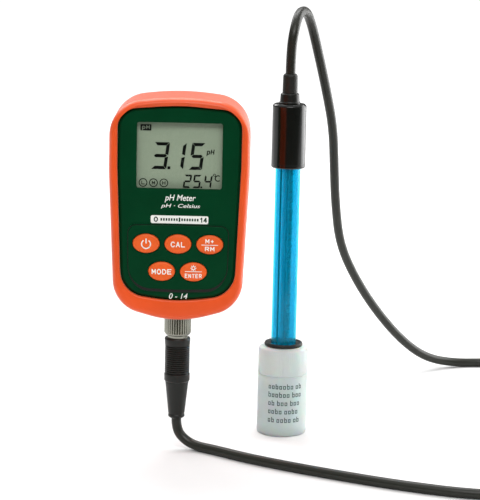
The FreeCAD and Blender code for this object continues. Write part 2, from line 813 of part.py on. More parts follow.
# ---------------------------------------------------------------- storage bottle
def make_bottle():
    radius, wall, neck = "dim.bottle_radius", "dim.bottle_wall", "dim.bottle_neck"
    turned(
        "storage_bottle",
        PROBE,
        above("0"),
        [
            (f"{radius} - 0.8", radius, "0.8"),
            (radius, radius, "dim.shoulder_rise - 0.8"),
            (neck, neck, "dim.neck_top - dim.shoulder_rise"),
        ],
        bore=(
            above(wall),
            [
                (f"{radius} - {wall}", f"{radius} - {wall}", f"dim.shoulder_rise - 2 * {wall}"),
                (f"{neck} - {wall}", f"{neck} - {wall}", "16"),
            ],
        ),
    )
    room = f"{radius} - {wall}"
    turned(
        "storage_solution",
        PROBE,
        above(wall),
        [(room, room, "22.7")],
        bore=(above("dim.tip_rise - 0.3"), [("6.3", "6.3", "30")]),
    )
    turned(
        "bottle_cap",
        PROBE,
        above("dim.lid_foot"),
        [
            (radius, radius, "dim.lid_top - dim.lid_foot - 1.8"),
            (radius, f"{radius} - 0.6", "1.1"),
            (f"{radius} - 0.6", f"{radius} - 2", "0.7"),
        ],
        bore=(
            above("dim.lid_foot - 1"),
            [
                (f"{neck} + 0.3", f"{neck} + 0.3", "dim.neck_top - dim.lid_foot + 1.4"),
                ("dim.lid_hole", "dim.lid_hole", "6"),
            ],
        ),
    )
    seal = "dim.seal_radius"
    turned(
        "seal_ring",
        PROBE,
        above("dim.lid_top"),
        [(f"{seal} - 0.2", seal, "0.5"), (seal, seal, "0.9"), (seal, f"{seal} - 0.4", "0.5")],
        bore=(above("dim.lid_top - 1"), [("6.16", "6.16", "4")]),
    )


# ---------------------------------------------------------------- probe cable
CABLE = size("cable_radius")
LAID = size("table") + CABLE
RELIEF_END = size("grip_top") - size("grip_length") - size("collar_length") - size("relief_length")
SLEEVE_TOP = (
    size("table") + size("cap_foot") + size("cap_length") + size("collar_rise") + size("sleeve_rise")
)

LOWER_ROUTE = [
    (0.0, -18.0, RELIEF_END),
    (0.0, -18.0, RELIEF_END - 4.9),
    (2.9, -18.9, -112.4),
    (9.0, -21.0, LAID),
    (19.0, -27.6, LAID),
    (34.0, -39.6, LAID),
    (55.0, -52.6, LAID),
    (80.0, -66.2, LAID),
    (108.0, -79.6, LAID),
    (138.0, -89.4, LAID),
    (168.0, -88.0, LAID),
    (194.0, -71.0, LAID),
    (209.0, -44.0, LAID),
    (215.6, -15.0, LAID),
    (217.2, 12.0, LAID),
    (217.3, 32.0, LAID),
]
UPPER_ROUTE = [
    (51.1, 17.0, SLEEVE_TOP),
    (51.1, 17.0, 70.5),
    (52.4, 17.3, 81.0),
    (54.8, 26.0, 88.5),
    (58.5, 38.3, 88.6),
    (61.6, 47.6, 81.2),
    (64.9, 52.0, 69.0),
    (70.2, 58.6, 48.0),
    (74.6, 66.0, 28.0),
    (76.2, 75.0, 6.0),
    (77.8, 84.6, -14.0),
    (81.4, 98.0, -38.0),
    (91.6, 112.0, -60.0),
    (104.0, 125.4, -79.6),
    (118.8, 137.6, -98.0),
    (134.0, 149.0, -110.8),
    (151.0, 158.6, LAID),
    (171.0, 161.8, LAID),
    (191.0, 155.4, LAID),
    (205.6, 139.0, LAID),
    (212.4, 117.0, LAID),
    (214.4, 94.0, LAID),
    (214.4, 72.0, LAID),
    (213.6, 52.0, LAID),
]


def swept_tube(points):
    """A round tube along straight runs joined by tangent arcs, with its length and its radii."""
    corners = [Vector(*p) for p in points]
    runs = [(b - a).Length for a, b in zip(corners, corners[1:])]
    edges = []
    radii = []
    start = corners[0]
    for k in range(1, len(corners) - 1):
        back = (corners[k - 1] - corners[k]).normalize()
        on = (corners[k + 1] - corners[k]).normalize()
        half_turn = (math.pi - back.getAngle(on)) / 2
        reach = 0.45 * min(runs[k - 1], runs[k])
        radius = reach / math.tan(half_turn)
        radii.append(radius)
        middle_way = (back + on).normalize()
        middle = corners[k] + middle_way * (radius / math.cos(half_turn) - radius)
        first, last = corners[k] + back * reach, corners[k] + on * reach
        edges.append(Part.LineSegment(start, first).toShape())
        edges.append(Part.Arc(first, middle, last).toShape())
        start = last
    edges.append(Part.LineSegment(start, corners[-1]).toShape())
    path = Part.Wire(edges)
    section = Part.Wire(Part.makeCircle(CABLE, corners[0], corners[1] - corners[0]))
    return path.makePipeShell([section], True, False), path.Length, radii


def make_cable():
    for label, route in (("cable_to_plug", LOWER_ROUTE), ("cable_to_electrode", UPPER_ROUTE)):
        tube, length, radii = swept_tube(route)
        expected = math.pi * CABLE**2 * length
        print(label, "length", round(length, 1), "volume ratio", round(tube.Volume / expected, 4))
        print("  radii", [round(r, 1) for r in radii])
        shaped(label, tube)
    centre = ("dim.coil_x", "dim.coil_y")
    outside, inside = "dim.coil_radius + dim.coil_half", "dim.coil_radius - dim.coil_half"
    turned(
        "cable_coil",
        centre,
        "dim.table",
        [(outside, outside, "dim.coil_height")],
        bore=("dim.table - 1", [(inside, inside, "dim.coil_height + 2")]),
    )
    strap_middle = ("dim.coil_x - dim.coil_radius", "dim.table + 5.6")
    strap = block(strap_middle, ("-dim.coil_y - 2", "4"), ("2 * dim.coil_half + 2.2", "11.2"), 1.5)
    winding = stage(centre, "dim.table - 1", outside, outside, "dim.coil_height + 1")
    hollow = stage(centre, "dim.table - 2", inside, inside, "dim.coil_height + 4")
    keep(cut(strap, cut(winding, hollow)), "coil_tie")


make_boot()
make_front_housing()
make_rear_housing()
make_gasket()
make_case_screws()
make_display()
make_board()
make_keypad_mat()
make_keypad_panel()
make_keys()
make_batteries()
make_socket()
make_plug()
make_electrode()
make_bottle()
make_cable()
doc.recompute()

for item in doc.Objects:
    if {"Invalid", "Error"} & set(item.State):
        raise ValueError(f"{item.Name} {item.Label} failed: {item.State}")
for item in sub_parts:
    if item.Shape.isNull() or not item.Shape.isValid():
        raise ValueError(f"{item.Label} has no valid shape")
    item.Shape.exportStep(f"parts/{item.Label}.step")
print(len(sub_parts), "sub-parts written")
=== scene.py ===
"""The looks of a palm pH meter with its cabled electrode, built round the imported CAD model.

Metres, in the model's own frame: +X to the meter's right, +Y from its display to its back, +Z up.
Sizes are written in millimetres and turned into metres by at() and MM.
"""

import math

import bmesh
import bpy
from mathutils import Matrix, Vector


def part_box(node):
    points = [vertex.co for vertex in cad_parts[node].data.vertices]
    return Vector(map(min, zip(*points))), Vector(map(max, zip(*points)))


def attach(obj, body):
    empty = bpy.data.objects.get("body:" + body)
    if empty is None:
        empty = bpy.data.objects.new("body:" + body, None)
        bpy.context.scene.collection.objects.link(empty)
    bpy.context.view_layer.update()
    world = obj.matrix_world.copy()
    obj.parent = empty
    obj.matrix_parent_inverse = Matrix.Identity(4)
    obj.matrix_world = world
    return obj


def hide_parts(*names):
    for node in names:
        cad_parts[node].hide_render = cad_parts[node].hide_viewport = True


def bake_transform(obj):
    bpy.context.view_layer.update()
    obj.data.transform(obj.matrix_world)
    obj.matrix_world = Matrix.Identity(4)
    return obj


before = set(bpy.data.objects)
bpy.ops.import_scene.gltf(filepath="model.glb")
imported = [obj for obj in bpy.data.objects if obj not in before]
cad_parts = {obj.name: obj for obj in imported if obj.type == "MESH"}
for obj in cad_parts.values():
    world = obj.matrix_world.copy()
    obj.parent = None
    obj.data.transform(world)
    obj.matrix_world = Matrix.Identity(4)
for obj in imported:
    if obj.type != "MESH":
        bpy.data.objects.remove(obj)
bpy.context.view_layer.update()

MM = 0.001
SCENE = bpy.context.scene
UP = Vector((0.0, 0.0, 1.0))


# ---------------------------------------------------------------- places, read from the frame
def middle(node):
    low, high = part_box(node)
    return (low + high) / 2


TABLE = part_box("storage_bottle")[0].z
PROBE_AXIS = middle("electrode_cap")
PLUG_AXIS = middle("plug_grip")
FACE = -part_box("front_housing")[0].y
GLASS_FACE = -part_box("lcd_glass")[0].y


def at(x, depth, z):
    """A point on the meter in metres, from millimetres; a depth counts forward from the flat back."""
    return Vector((x, -depth, z)) * MM


# ---------------------------------------------------------------- camera
CAMERA_PLACE = Vector((0.0287, -0.94374, 0.15151))
CAMERA_PITCH = math.radians(10.536)
CAMERA_ROLL = math.radians(1.275)


def make_camera():
    """A long lens a little above the meter, looking slightly down."""
    camera = bpy.data.objects.new("camera", bpy.data.cameras.new("camera"))
    camera.data.lens = 144.0
    camera.data.sensor_width = 36.0
    camera.data.clip_start = 0.05
    forward = Vector((0.0, math.cos(CAMERA_PITCH), -math.sin(CAMERA_PITCH)))
    level_up = Vector((0.0, math.sin(CAMERA_PITCH), math.cos(CAMERA_PITCH)))
    right = Vector((1.0, 0.0, 0.0)) * math.cos(CAMERA_ROLL) + level_up * math.sin(CAMERA_ROLL)
    up = level_up * math.cos(CAMERA_ROLL) - Vector((1.0, 0.0, 0.0)) * math.sin(CAMERA_ROLL)
    facing = Matrix((right, up, -forward)).transposed().to_4x4()
    camera.matrix_world = Matrix.Translation(CAMERA_PLACE) @ facing
    SCENE.collection.objects.link(camera)
    SCENE.camera = camera


# ---------------------------------------------------------------- materials
def srgb(red, green, blue):
    """A linear colour from 8-bit display values."""
    channels = []
    for value in (red, green, blue):
        share = value / 255
        channels.append(share / 12.92 if share <= 0.04045 else ((share + 0.055) / 1.055) ** 2.4)
    return (*channels, 1.0)


class Nodes:
    """A material's node tree, with short ways to add and join nodes."""

    def __init__(self, name):
        self.material = bpy.data.materials.new(name)
        self.material.use_nodes = True
        self.tree = self.material.node_tree
        self.shader = self.tree.nodes["Principled BSDF"]
        self.output = self.tree.nodes["Material Output"]
        self.place = self.add("ShaderNodeTexCoord").outputs["Object"]

    def add(self, kind, **settings):
        node = self.tree.nodes.new(kind)
        for name, value in settings.items():
            if hasattr(node, name):
                setattr(node, name, value)
            else:
                node.inputs[name.replace("_", " ")].default_value = value
        return node

    def join(self, source, target):
        self.tree.links.new(source, target)

    def set(self, **values):
        for name, value in values.items():
            self.shader.inputs[name.replace("_", " ")].default_value = value

    def noise(self, scale, detail=3.0, stretch=None):
        """A noise field in the row frame, optionally stretched along the axes."""
        made = self.add("ShaderNodeTexNoise", Scale=scale, Detail=detail)
        place = self.place
        if stretch:
            mapping = self.add("ShaderNodeMapping")
            mapping.inputs["Scale"].default_value = stretch
            self.join(place, mapping.inputs["Vector"])
            place = mapping.outputs["Vector"]
        self.join(place, made.inputs["Vector"])
        return made.outputs["Fac"]

    def spread(self, source, low, high):
        """Maps the middle of a noise field onto low to high."""
        made = self.add("ShaderNodeMapRange")
        made.inputs["From Min"].default_value = 0.3
        made.inputs["From Max"].default_value = 0.7
        made.inputs["To Min"].default_value = low
        made.inputs["To Max"].default_value = high
        self.join(source, made.inputs["Value"])
        return made.outputs["Result"]

    def colours(self, factor, stops):
        """A colour ramp with stops (position, colour)."""
        made = self.add("ShaderNodeValToRGB")
        ramp = made.color_ramp
        while len(ramp.elements) < len(stops):
            ramp.elements.new(0.5)
        for element, (position, colour) in zip(ramp.elements, stops):
            element.position = position
            element.color = colour
        self.join(factor, made.inputs["Fac"])
        return made.outputs["Color"]

    def bump(self, height, strength, distance):
        made = self.add("ShaderNodeBump")
        made.inputs["Strength"].default_value = strength
        made.inputs["Distance"].default_value = distance
        self.join(height, made.inputs["Height"])
        self.join(made.outputs["Normal"], self.shader.inputs["Normal"])


def tinted(colour, share):
    """A colour made lighter or darker by a share."""
    return (*[min(channel * (1 + share), 1.0) for channel in colour[:3]], 1.0)


def finish(name, colour, roughness, vary=0.06, patch=60.0, grain=3000.0, relief=0.06, marks=None, **settings):
    """A finish with faint colour patches, uneven gloss, and a fine skin or long marks.

    marks is (scale, detail, stretch, strength, distance) of the bump that takes the fine skin's place.
    """
    nodes = Nodes(name)
    nodes.set(**settings)
    stops = ((0.35, tinted(colour, -vary)), (0.65, tinted(colour, vary)))
    nodes.join(nodes.colours(nodes.noise(patch, 4.0), stops), nodes.shader.inputs["Base Color"])
    gloss = nodes.spread(nodes.noise(patch * 6), roughness * 0.88, roughness * 1.12)
    nodes.join(gloss, nodes.shader.inputs["Roughness"])
    scale, detail, stretch, strength, distance = marks or (grain, 2.0, None, relief, 0.0001)
    nodes.bump(nodes.noise(scale, detail, stretch), strength, distance)
    return nodes


def make_cell_jacket():
    """A plain printed sleeve: a dark barrel with a coppery band towards the button end."""
    low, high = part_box("battery_cells")
    nodes = finish("cell_jacket", srgb(40, 42, 46), 0.3, Metallic=0.6)
    parts = nodes.add("ShaderNodeSeparateXYZ")
    nodes.join(nodes.place, parts.inputs["Vector"])
    share = nodes.add("ShaderNodeMapRange")
    share.inputs["From Min"].default_value = low.z
    share.inputs["From Max"].default_value = high.z
    nodes.join(parts.outputs["Z"], share.inputs["Value"])
    bands = (
        (0.0, srgb(170, 172, 176)),
        (0.03, srgb(34, 36, 40)),
        (0.72, srgb(176, 112, 62)),
        (0.955, srgb(190, 192, 196)),
    )
    painted = nodes.colours(share.outputs["Result"], bands)
    painted.node.color_ramp.interpolation = "CONSTANT"
    nodes.join(painted, nodes.shader.inputs["Base Color"])
    return nodes.material


def make_board():
    """Green solder mask with paler tracks just under it."""
    nodes = finish("board", srgb(12, 92, 50), 0.35, vary=0.1)
    tracks = nodes.add("ShaderNodeTexBrick", Scale=700.0)
    tracks.inputs["Color1"].default_value = srgb(10, 86, 46)
    tracks.inputs["Color2"].default_value = srgb(14, 98, 54)
    tracks.inputs["Mortar"].default_value = srgb(40, 130, 74)
    tracks.inputs["Mortar Size"].default_value = 0.03
    nodes.join(nodes.place, tracks.inputs["Vector"])
    nodes.join(tracks.outputs["Color"], nodes.shader.inputs["Base Color"])
    return nodes.material


FINISHES = {
    "boot_rubber": (srgb(236, 84, 26), 0.38, {
        "vary": 0.05, "patch": 45.0, "grain": 5200.0, "relief": 0.16,
        "Sheen_Weight": 0.3, "Sheen_Roughness": 0.35, "Specular_IOR_Level": 0.42,
    }),
    "green_case": (srgb(1, 57, 30), 0.4, {
        "vary": 0.07, "patch": 70.0, "grain": 6000.0, "relief": 0.1, "Specular_IOR_Level": 0.07,
    }),
    "key_rubber": (srgb(238, 98, 36), 0.5, {
        "vary": 0.05, "patch": 260.0, "grain": 5000.0, "relief": 0.1, "Specular_IOR_Level": 0.25,
    }),
    "plug_plastic": (srgb(14, 16, 11), 0.36, {
        "vary": 0.12, "patch": 160.0, "relief": 0.15, "Specular_IOR_Level": 0.35,
    }),
    "cable_rubber": (srgb(31, 32, 25), 0.38, {
        "vary": 0.12, "patch": 120.0, "grain": 4200.0, "relief": 0.2, "Specular_IOR_Level": 0.35,
    }),
    "black_gloss": (srgb(8, 11, 7), 0.2, {
        "vary": 0.2, "patch": 90.0, "marks": (40.0, 3.0, (1.0, 1.0, 60.0), 0.05, 0.00005),
        "Specular_IOR_Level": 0.42,
    }),
    "chrome": (srgb(142, 142, 132), 0.14, {
        "vary": 0.08, "patch": 260.0, "marks": (300.0, 3.0, (6.0, 6.0, 0.5), 0.06, 0.00005), "Metallic": 1.0,
    }),
    "blue_clear": ((0.006, 0.58, 0.8, 1.0), 0.03, {
        "vary": 0.03, "patch": 30.0, "marks": (70.0, 2.0, (3.0, 3.0, 0.2), 0.1, 0.0002),
        "Transmission_Weight": 0.84, "IOR": 1.06, "Coat_Weight": 0.25, "Coat_Roughness": 0.05,
    }),
    "bottle_plastic": ((0.87, 0.94, 0.92, 1.0), 0.4, {
        "vary": 0.02, "patch": 90.0, "grain": 2500.0,
        "Transmission_Weight": 0.5, "IOR": 1.12, "Subsurface_Weight": 0.4, "Subsurface_Scale": 0.003,
    }),
    "display_glass": (srgb(155, 170, 146), 0.4, {
        "vary": 0.03, "patch": 900.0, "marks": (1500.0, 3.0, None, 0.02, 0.0001),
    }),
    "black_rubber": (srgb(27, 28, 24), 0.5, {"relief": 0.2, "Specular_IOR_Level": 0.3}),
    "grey_plastic": (srgb(120, 124, 120), 0.45, {}),
    "white_plastic": (srgb(226, 226, 221), 0.4, {"vary": 0.02}),
    "black_plastic": (srgb(15, 17, 12), 0.35, {"relief": 0.12, "Specular_IOR_Level": 0.35}),
    "steel": (srgb(176, 178, 180), 0.28, {"Metallic": 1.0}),
    "contact_brass": (srgb(212, 170, 82), 0.25, {"Metallic": 1.0}),
    "silver_wire": (srgb(38, 40, 42), 0.5, {}),
    "solution": (srgb(190, 214, 220), 0.05, {"Transmission_Weight": 0.9, "IOR": 1.33, "relief": 0.0}),
    "clear_window": (srgb(70, 76, 72), 0.06, {"Alpha": 0.03, "relief": 0.0, "vary": 0.01}),
    "clear_glass": (srgb(150, 200, 215), 0.05, {"Alpha": 0.35, "relief": 0.0, "vary": 0.02}),
    "legend_white": (srgb(246, 246, 240), 0.5, {"vary": 0.01, "relief": 0.03}),
    "segment_ink": (srgb(5, 7, 6), 0.6, {"relief": 0.03, "Specular_IOR_Level": 0.05}),
    "label_ink": (srgb(74, 96, 90), 0.6, {"vary": 0.1, "relief": 0.03}),
}
SPECIAL = {"cell_jacket": make_cell_jacket, "board": make_board}
MATERIALS = {}


def material(slot):
    """The finish of a slot, made once."""
    if slot not in MATERIALS:
        if slot in SPECIAL:
            MATERIALS[slot] = SPECIAL[slot]()
        else:
            colour, roughness, settings = FINISHES[slot]
            MATERIALS[slot] = finish(slot, colour, roughness, **settings).material
    return MATERIALS[slot]


# ---------------------------------------------------------------- mesh helpers
def round_corners(corners, steps, closed):
    """Points along corners (a, b, radius), each turned into an arc of steps, or kept sharp at radius 0."""
    points = []
    count = len(corners)
    for k, (a, b, radius) in enumerate(corners):
        here = Vector((a, b))
        if radius == 0 or (not closed and k in (0, count - 1)):
            points.append(here)
            continue
        back = (Vector(corners[k - 1][:2]) - here).normalized()
        on = (Vector(corners[(k + 1) % count][:2]) - here).normalized()
        half_turn = (math.pi - back.angle(on)) / 2
        centre = here + (back + on).normalized() * (radius / math.cos(half_turn))
        arm = here + back * (radius * math.tan(half_turn)) - centre
        side = 1.0 if back.x * on.y - back.y * on.x < 0 else -1.0
        for step in range(steps + 1):
            turn = Matrix.Rotation(side * 2 * half_turn * step / steps, 2)
            points.append(centre + turn @ arm)
    return points


def add_piece(name, points, faces, slot, sharp=35.0):
    """A mesh object with smooth shading and creases where its faces turn by more than an angle."""
    mesh = bpy.data.meshes.new(name)
    mesh.from_pydata([tuple(p) for p in points], [], faces)
    shell = bmesh.new()
    shell.from_mesh(mesh)
    bmesh.ops.remove_doubles(shell, verts=shell.verts, dist=1e-7)
    bmesh.ops.recalc_face_normals(shell, faces=shell.faces)
    shell.to_mesh(mesh)
    shell.free()
    mesh.shade_smooth()
    mesh.set_sharp_from_angle(angle=math.radians(sharp))
    piece = bpy.data.objects.new(name, mesh)
    piece.data.materials.append(material(slot))
    SCENE.collection.objects.link(piece)
    return piece


def loft(name, rings, slot, closed=False, ends=True, sharp=35.0):
    """A skin over closed rings of points; its ends are filled, left open, or joined to each other."""
    count = len(rings[0])
    points = [p for ring in rings for p in ring]
    faces = []
    last = len(rings) if closed else len(rings) - 1
    for k in range(last):
        low, high = k * count, ((k + 1) % len(rings)) * count
        for j in range(count):
            on = (j + 1) % count
            faces.append((low + j, low + on, high + on, high + j))
    if ends and not closed:
        faces.append(tuple(range(count)))
        faces.append(tuple(range(len(points) - count, len(points))))
    return add_piece(name, points, faces, slot, sharp)


def lathe(name, axis, corners, slot, base=0.0, segments=96, steps=6, groove=None, sharp=35.0):
    """A turned solid from a closed profile of corners (radius, height above base, rounding) in millimetres.

    groove(turns, radius, height) says how much to take off the radius.
    """
    rings = []
    for radius, height in round_corners(corners, steps, True):
        ring = []
        for k in range(segments):
            angle = 2 * math.pi * k / segments
            reach = (radius - (groove(k / segments, radius, height) if groove else 0.0)) * MM
            x, y = axis.x + reach * math.cos(angle), axis.y + reach * math.sin(angle)
            ring.append(Vector((x, y, (base + height) * MM)))
        rings.append(ring)
    return loft(name, rings, slot, closed=True, sharp=sharp)


def notches(count, cut, narrow, outside, low, high):
    """A groove for lathe(): notches between two heights, where the radius is over a limit."""

    def groove(turns, radius, height):
        if radius < outside or height < low or height > high:
            return 0.0
        rise = 1.0 - abs(2.0 * (turns * count % 1.0) - 1.0)
        return cut * max(1.0 - narrow * rise, 0.0)

    return groove


def box_corners(x, z, half_wide, half_tall, radius):
    """A rectangle's corners, clockwise from its upper left, with one rounding."""
    signs = ((-1, 1), (1, 1), (1, -1), (-1, -1))
    return [(x + a * half_wide, z + b * half_tall, radius) for a, b in signs]


def baked(piece):
    """Replaces a piece's mesh by the result of its modifiers."""
    bpy.context.view_layer.update()
    graph = bpy.context.evaluated_depsgraph_get()
    mesh = bpy.data.meshes.new_from_object(piece.evaluated_get(graph))
    piece.modifiers.clear()
    piece.data = mesh
    return piece


def carve(piece, tool):
    """Cuts one piece out of another and removes the tool."""
    modifier = piece.modifiers.new("carve", "BOOLEAN")
    modifier.operation = "DIFFERENCE"
    modifier.solver = "EXACT"
    modifier.object = tool
    baked(piece)
    bpy.data.objects.remove(tool)
    piece.data.set_sharp_from_angle(angle=math.radians(35.0))
    return piece


def merged(name, pieces):
    """One object from several meshes of one finish."""
    shell = bmesh.new()
    for piece in pieces:
        shell.from_mesh(piece.data)
    mesh = bpy.data.meshes.new(name)
    shell.to_mesh(mesh)
    shell.free()
    mesh.materials.append(pieces[0].data.materials[0])
    for piece in pieces:
        bpy.data.objects.remove(piece)
    whole = bpy.data.objects.new(name, mesh)
    SCENE.collection.objects.link(whole)
    return whole


def solids_of(node):
    """The boxes of a CAD node's separate solids, from left to right and from low to high."""
    shell = bmesh.new()
    shell.from_mesh(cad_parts[node].data)
    bmesh.ops.remove_doubles(shell, verts=shell.verts, dist=1e-6)
    waiting = set(shell.verts)
    boxes = []
    while waiting:
        first = waiting.pop()
        group, front = [first.co.copy()], [first]
        while front:
            vertex = front.pop()
            for edge in vertex.link_edges:
                other = edge.other_vert(vertex)
                if other in waiting:
                    waiting.remove(other)
                    front.append(other)
                    group.append(other.co.copy())
        low = Vector([min(point[axis] for point in group) for axis in range(3)])
        high = Vector([max(point[axis] for point in group) for axis in range(3)])
        boxes.append((low, high))
    shell.free()
    return sorted(boxes, key=lambda box: (round(box[0].x, 4), round(box[0].z, 4)))


def turned(node, name, axis, body, slot, corners, **settings):
    """A turned piece in place of a node, its corner heights counted from the node's foot."""
    piece = lathe(name, axis, corners, slot, base=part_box(node)[0].z / MM, **settings)
    return stands_for(piece, body, slot, node)


def stands_for(piece, body, slot, *nodes):
    """A detailed piece that rides on a body in place of CAD nodes."""
    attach(piece, body)
    if nodes:
        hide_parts(*nodes)
    return piece


# ---------------------------------------------------------------- the probe cable
CABLE_RADIUS = 2.35
LAID = TABLE / MM + CABLE_RADIUS
RELIEF_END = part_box("strain_relief")[0].z / MM
SLEEVE_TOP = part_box("cable_sleeve")[1].z / MM

LOWER_ROUTE = [
    (0.0, -18.0, RELIEF_END),
    (0.0, -18.0, RELIEF_END - 4.9),
    (2.9, -18.9, -112.4),
    (9.0, -21.0, LAID),
    (19.0, -27.6, LAID),
    (34.0, -39.6, LAID),
    (55.0, -52.6, LAID),
    (80.0, -66.2, LAID),
    (108.0, -79.6, LAID),
    (138.0, -89.4, LAID),
    (168.0, -88.0, LAID),
    (194.0, -71.0, LAID),
    (209.0, -44.0, LAID),
    (215.6, -15.0, LAID),
    (217.2, 12.0, LAID),
]
UPPER_ROUTE = [
    (51.1, 17.0, SLEEVE_TOP),
    (51.1, 17.0, 70.5),
    (52.4, 17.3, 81.0),
    (54.8, 26.0, 88.5),
    (58.5, 38.3, 88.6),
    (61.6, 47.6, 81.2),
    (64.9, 52.0, 69.0),
    (70.2, 58.6, 48.0),
    (74.6, 66.0, 28.0),
    (76.2, 75.0, 6.0),
    (77.8, 84.6, -14.0),
    (81.4, 98.0, -38.0),
    (91.6, 112.0, -60.0),
    (104.0, 125.4, -79.6),
    (118.8, 137.6, -98.0),
    (134.0, 149.0, -110.8),
    (151.0, 158.6, LAID),
    (171.0, 161.8, LAID),
    (191.0, 155.4, LAID),
    (205.6, 139.0, LAID),
    (212.4, 117.0, LAID),
    (214.4, 94.0, LAID),
    (215.0, 77.0, LAID),
]
HUMP = [(214.9, 66.0, LAID + 3.4), (214.4, 56.5, LAID + 5.6), (213.2, 45.0, LAID + 5.8)]
COIL_CENTRE = (190.0, 40.0)
COIL_OUTER = 27.4
COIL_INNER = 22.7
COIL_START = math.radians(-17.0)
COIL_TURNS = 2
TURN_POINTS = 16


def coil_route():
    """Two turns put away on the table: a spiral inwards, then a turn that climbs onto the first."""
    points = []
    last = COIL_TURNS * TURN_POINTS
    for k in range(last):
        turns = k / TURN_POINTS
        angle = COIL_START + 2 * math.pi * turns
        radius = max(COIL_OUTER - (COIL_OUTER - COIL_INNER) * turns, COIL_INNER)
        climb = 2 * CABLE_RADIUS * min(max(turns - 1.0, 0.0) * 1.6, 1.0)
        x = COIL_CENTRE[0] + radius * math.cos(angle)
        y = COIL_CENTRE[1] + radius * math.sin(angle)
        points.append((x, y, LAID + climb))
    return points


def smooth_line(name, route):
    """Points along one NURBS line whose control points are the route, in metres."""
    curve = bpy.data.curves.new(name, "CURVE")
    curve.dimensions = "3D"
    curve.resolution_u = 10
    spline = curve.splines.new("NURBS")
    spline.points.add(len(route) - 1)
    for control, point in zip(spline.points, route):
        control.co = (*(Vector(point) * MM), 1.0)
    spline.order_u = 3
    spline.use_endpoint_u = True
    holder = bpy.data.objects.new(name, curve)
    line = bpy.data.meshes.new_from_object(holder)
    points = [vertex.co.copy() for vertex in line.vertices]
    bpy.data.objects.remove(holder)
    bpy.data.curves.remove(curve)
    bpy.data.meshes.remove(line)
    return points


def tube(name, line, radius, slot, around=20):
    """A round skin that follows a line without twisting."""
    rings = []
    side = UP.cross(line[1] - line[0])
    if side.length < 1e-9:
        side = Vector((1.0, 0.0, 0.0))
    for k, point in enumerate(line):
        along = (line[min(k + 1, len(line) - 1)] - line[max(k - 1, 0)]).normalized()
        side = (side - along * side.dot(along)).normalized()
        over = along.cross(side)
        ring = []
        for j in range(around):
            angle = 2 * math.pi * j / around
            ring.append(point + (side * math.cos(angle) + over * math.sin(angle)) * radius)
        rings.append(ring)
    return loft(name, rings, slot, sharp=60.0)


def make_cable():
    route = LOWER_ROUTE + coil_route() + list(reversed(UPPER_ROUTE + HUMP))
    line = smooth_line("probe_cable_line", route)
    cable = tube("probe_cable", line, CABLE_RADIUS * MM, "cable_rubber")
    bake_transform(cable)
    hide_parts("cable_to_plug", "cable_coil", "cable_to_electrode")
    length = sum((b - a).length for a, b in zip(line, line[1:]))
    print("cable length", round(length, 4))
    return cable, line


def make_coil_tie():
    """A soft strap round both turns of the coil."""
    tie = middle("coil_tie")
    half_wide, half_tall = 4.5, 4.9
    centre = Vector((tie.x + 1.2 * MM, tie.y, TABLE + half_tall * MM))
    section = (
        (0.0, -1.9), (0.25, -2.0), (0.65, -2.0), (0.75, -1.7),
        (0.75, 1.7), (0.65, 2.0), (0.25, 2.0), (0.0, 1.9),
    )
    rings = []
    for inset, side in section:
        corners = box_corners(0.0, 0.0, half_wide - inset, half_tall - inset, 4.2 - inset)
        rings.append([centre + Vector((a, side, b)) * MM for a, b in round_corners(corners, 8, True)])
    strap = loft("coil_strap", rings, "black_rubber", closed=True)
    return stands_for(strap, "meter", "black_rubber", "coil_tie")


# ---------------------------------------------------------------- the rubber boot
METER_OUTLINE = [
    (0.0, 53.2, 120.0), (32.5, 49.3, 17.0), (32.5, 17.0, 200.0), (29.75, -45.2, 16.0), (0.0, -53.5, 50.0),
]
OPENING_OUTLINE = [
    (0.0, 48.9, 100.0), (28.5, 46.6, 9.4), (28.5, 21.0, 150.0), (26.3, -39.2, 12.5), (0.0, -42.9, 80.0),
]
OUTLINE_STEPS = 18


def both_sides(right_side):
    """A full clockwise outline from its right half, whose first and last points are on the axis."""
    return right_side + [(-x, z, radius) for x, z, radius in reversed(right_side[1:-1])]


def inset_corners(corners, inset):
    """Moves every side of a clockwise outline inwards and tightens its corners to match."""
    moved = []
    count = len(corners)
    for k, (x, z, radius) in enumerate(corners):
        here = Vector((x, z))
        into = (here - Vector(corners[k - 1][:2])).normalized()
        out = (Vector(corners[(k + 1) % count][:2]) - here).normalized()
        first, second = Vector((into.y, -into.x)), Vector((out.y, -out.x))
        shift = (first + second) * (inset / (1.0 + first.dot(second)))
        moved.append((x + shift.x, z + shift.y, max(radius - inset, 0.2)))
    return moved


def quarter_turn(steps):
    """Angles from nought to a right angle."""
    return [math.pi / 2 * step / steps for step in range(steps + 1)]


def meter_ring(half_outline, inset, depth):
    """A ring round the meter, parallel to an outline, at a depth."""
    corners = inset_corners(both_sides(half_outline), inset)
    return [at(x, depth, z) for x, z in round_corners(corners, OUTLINE_STEPS, True)]


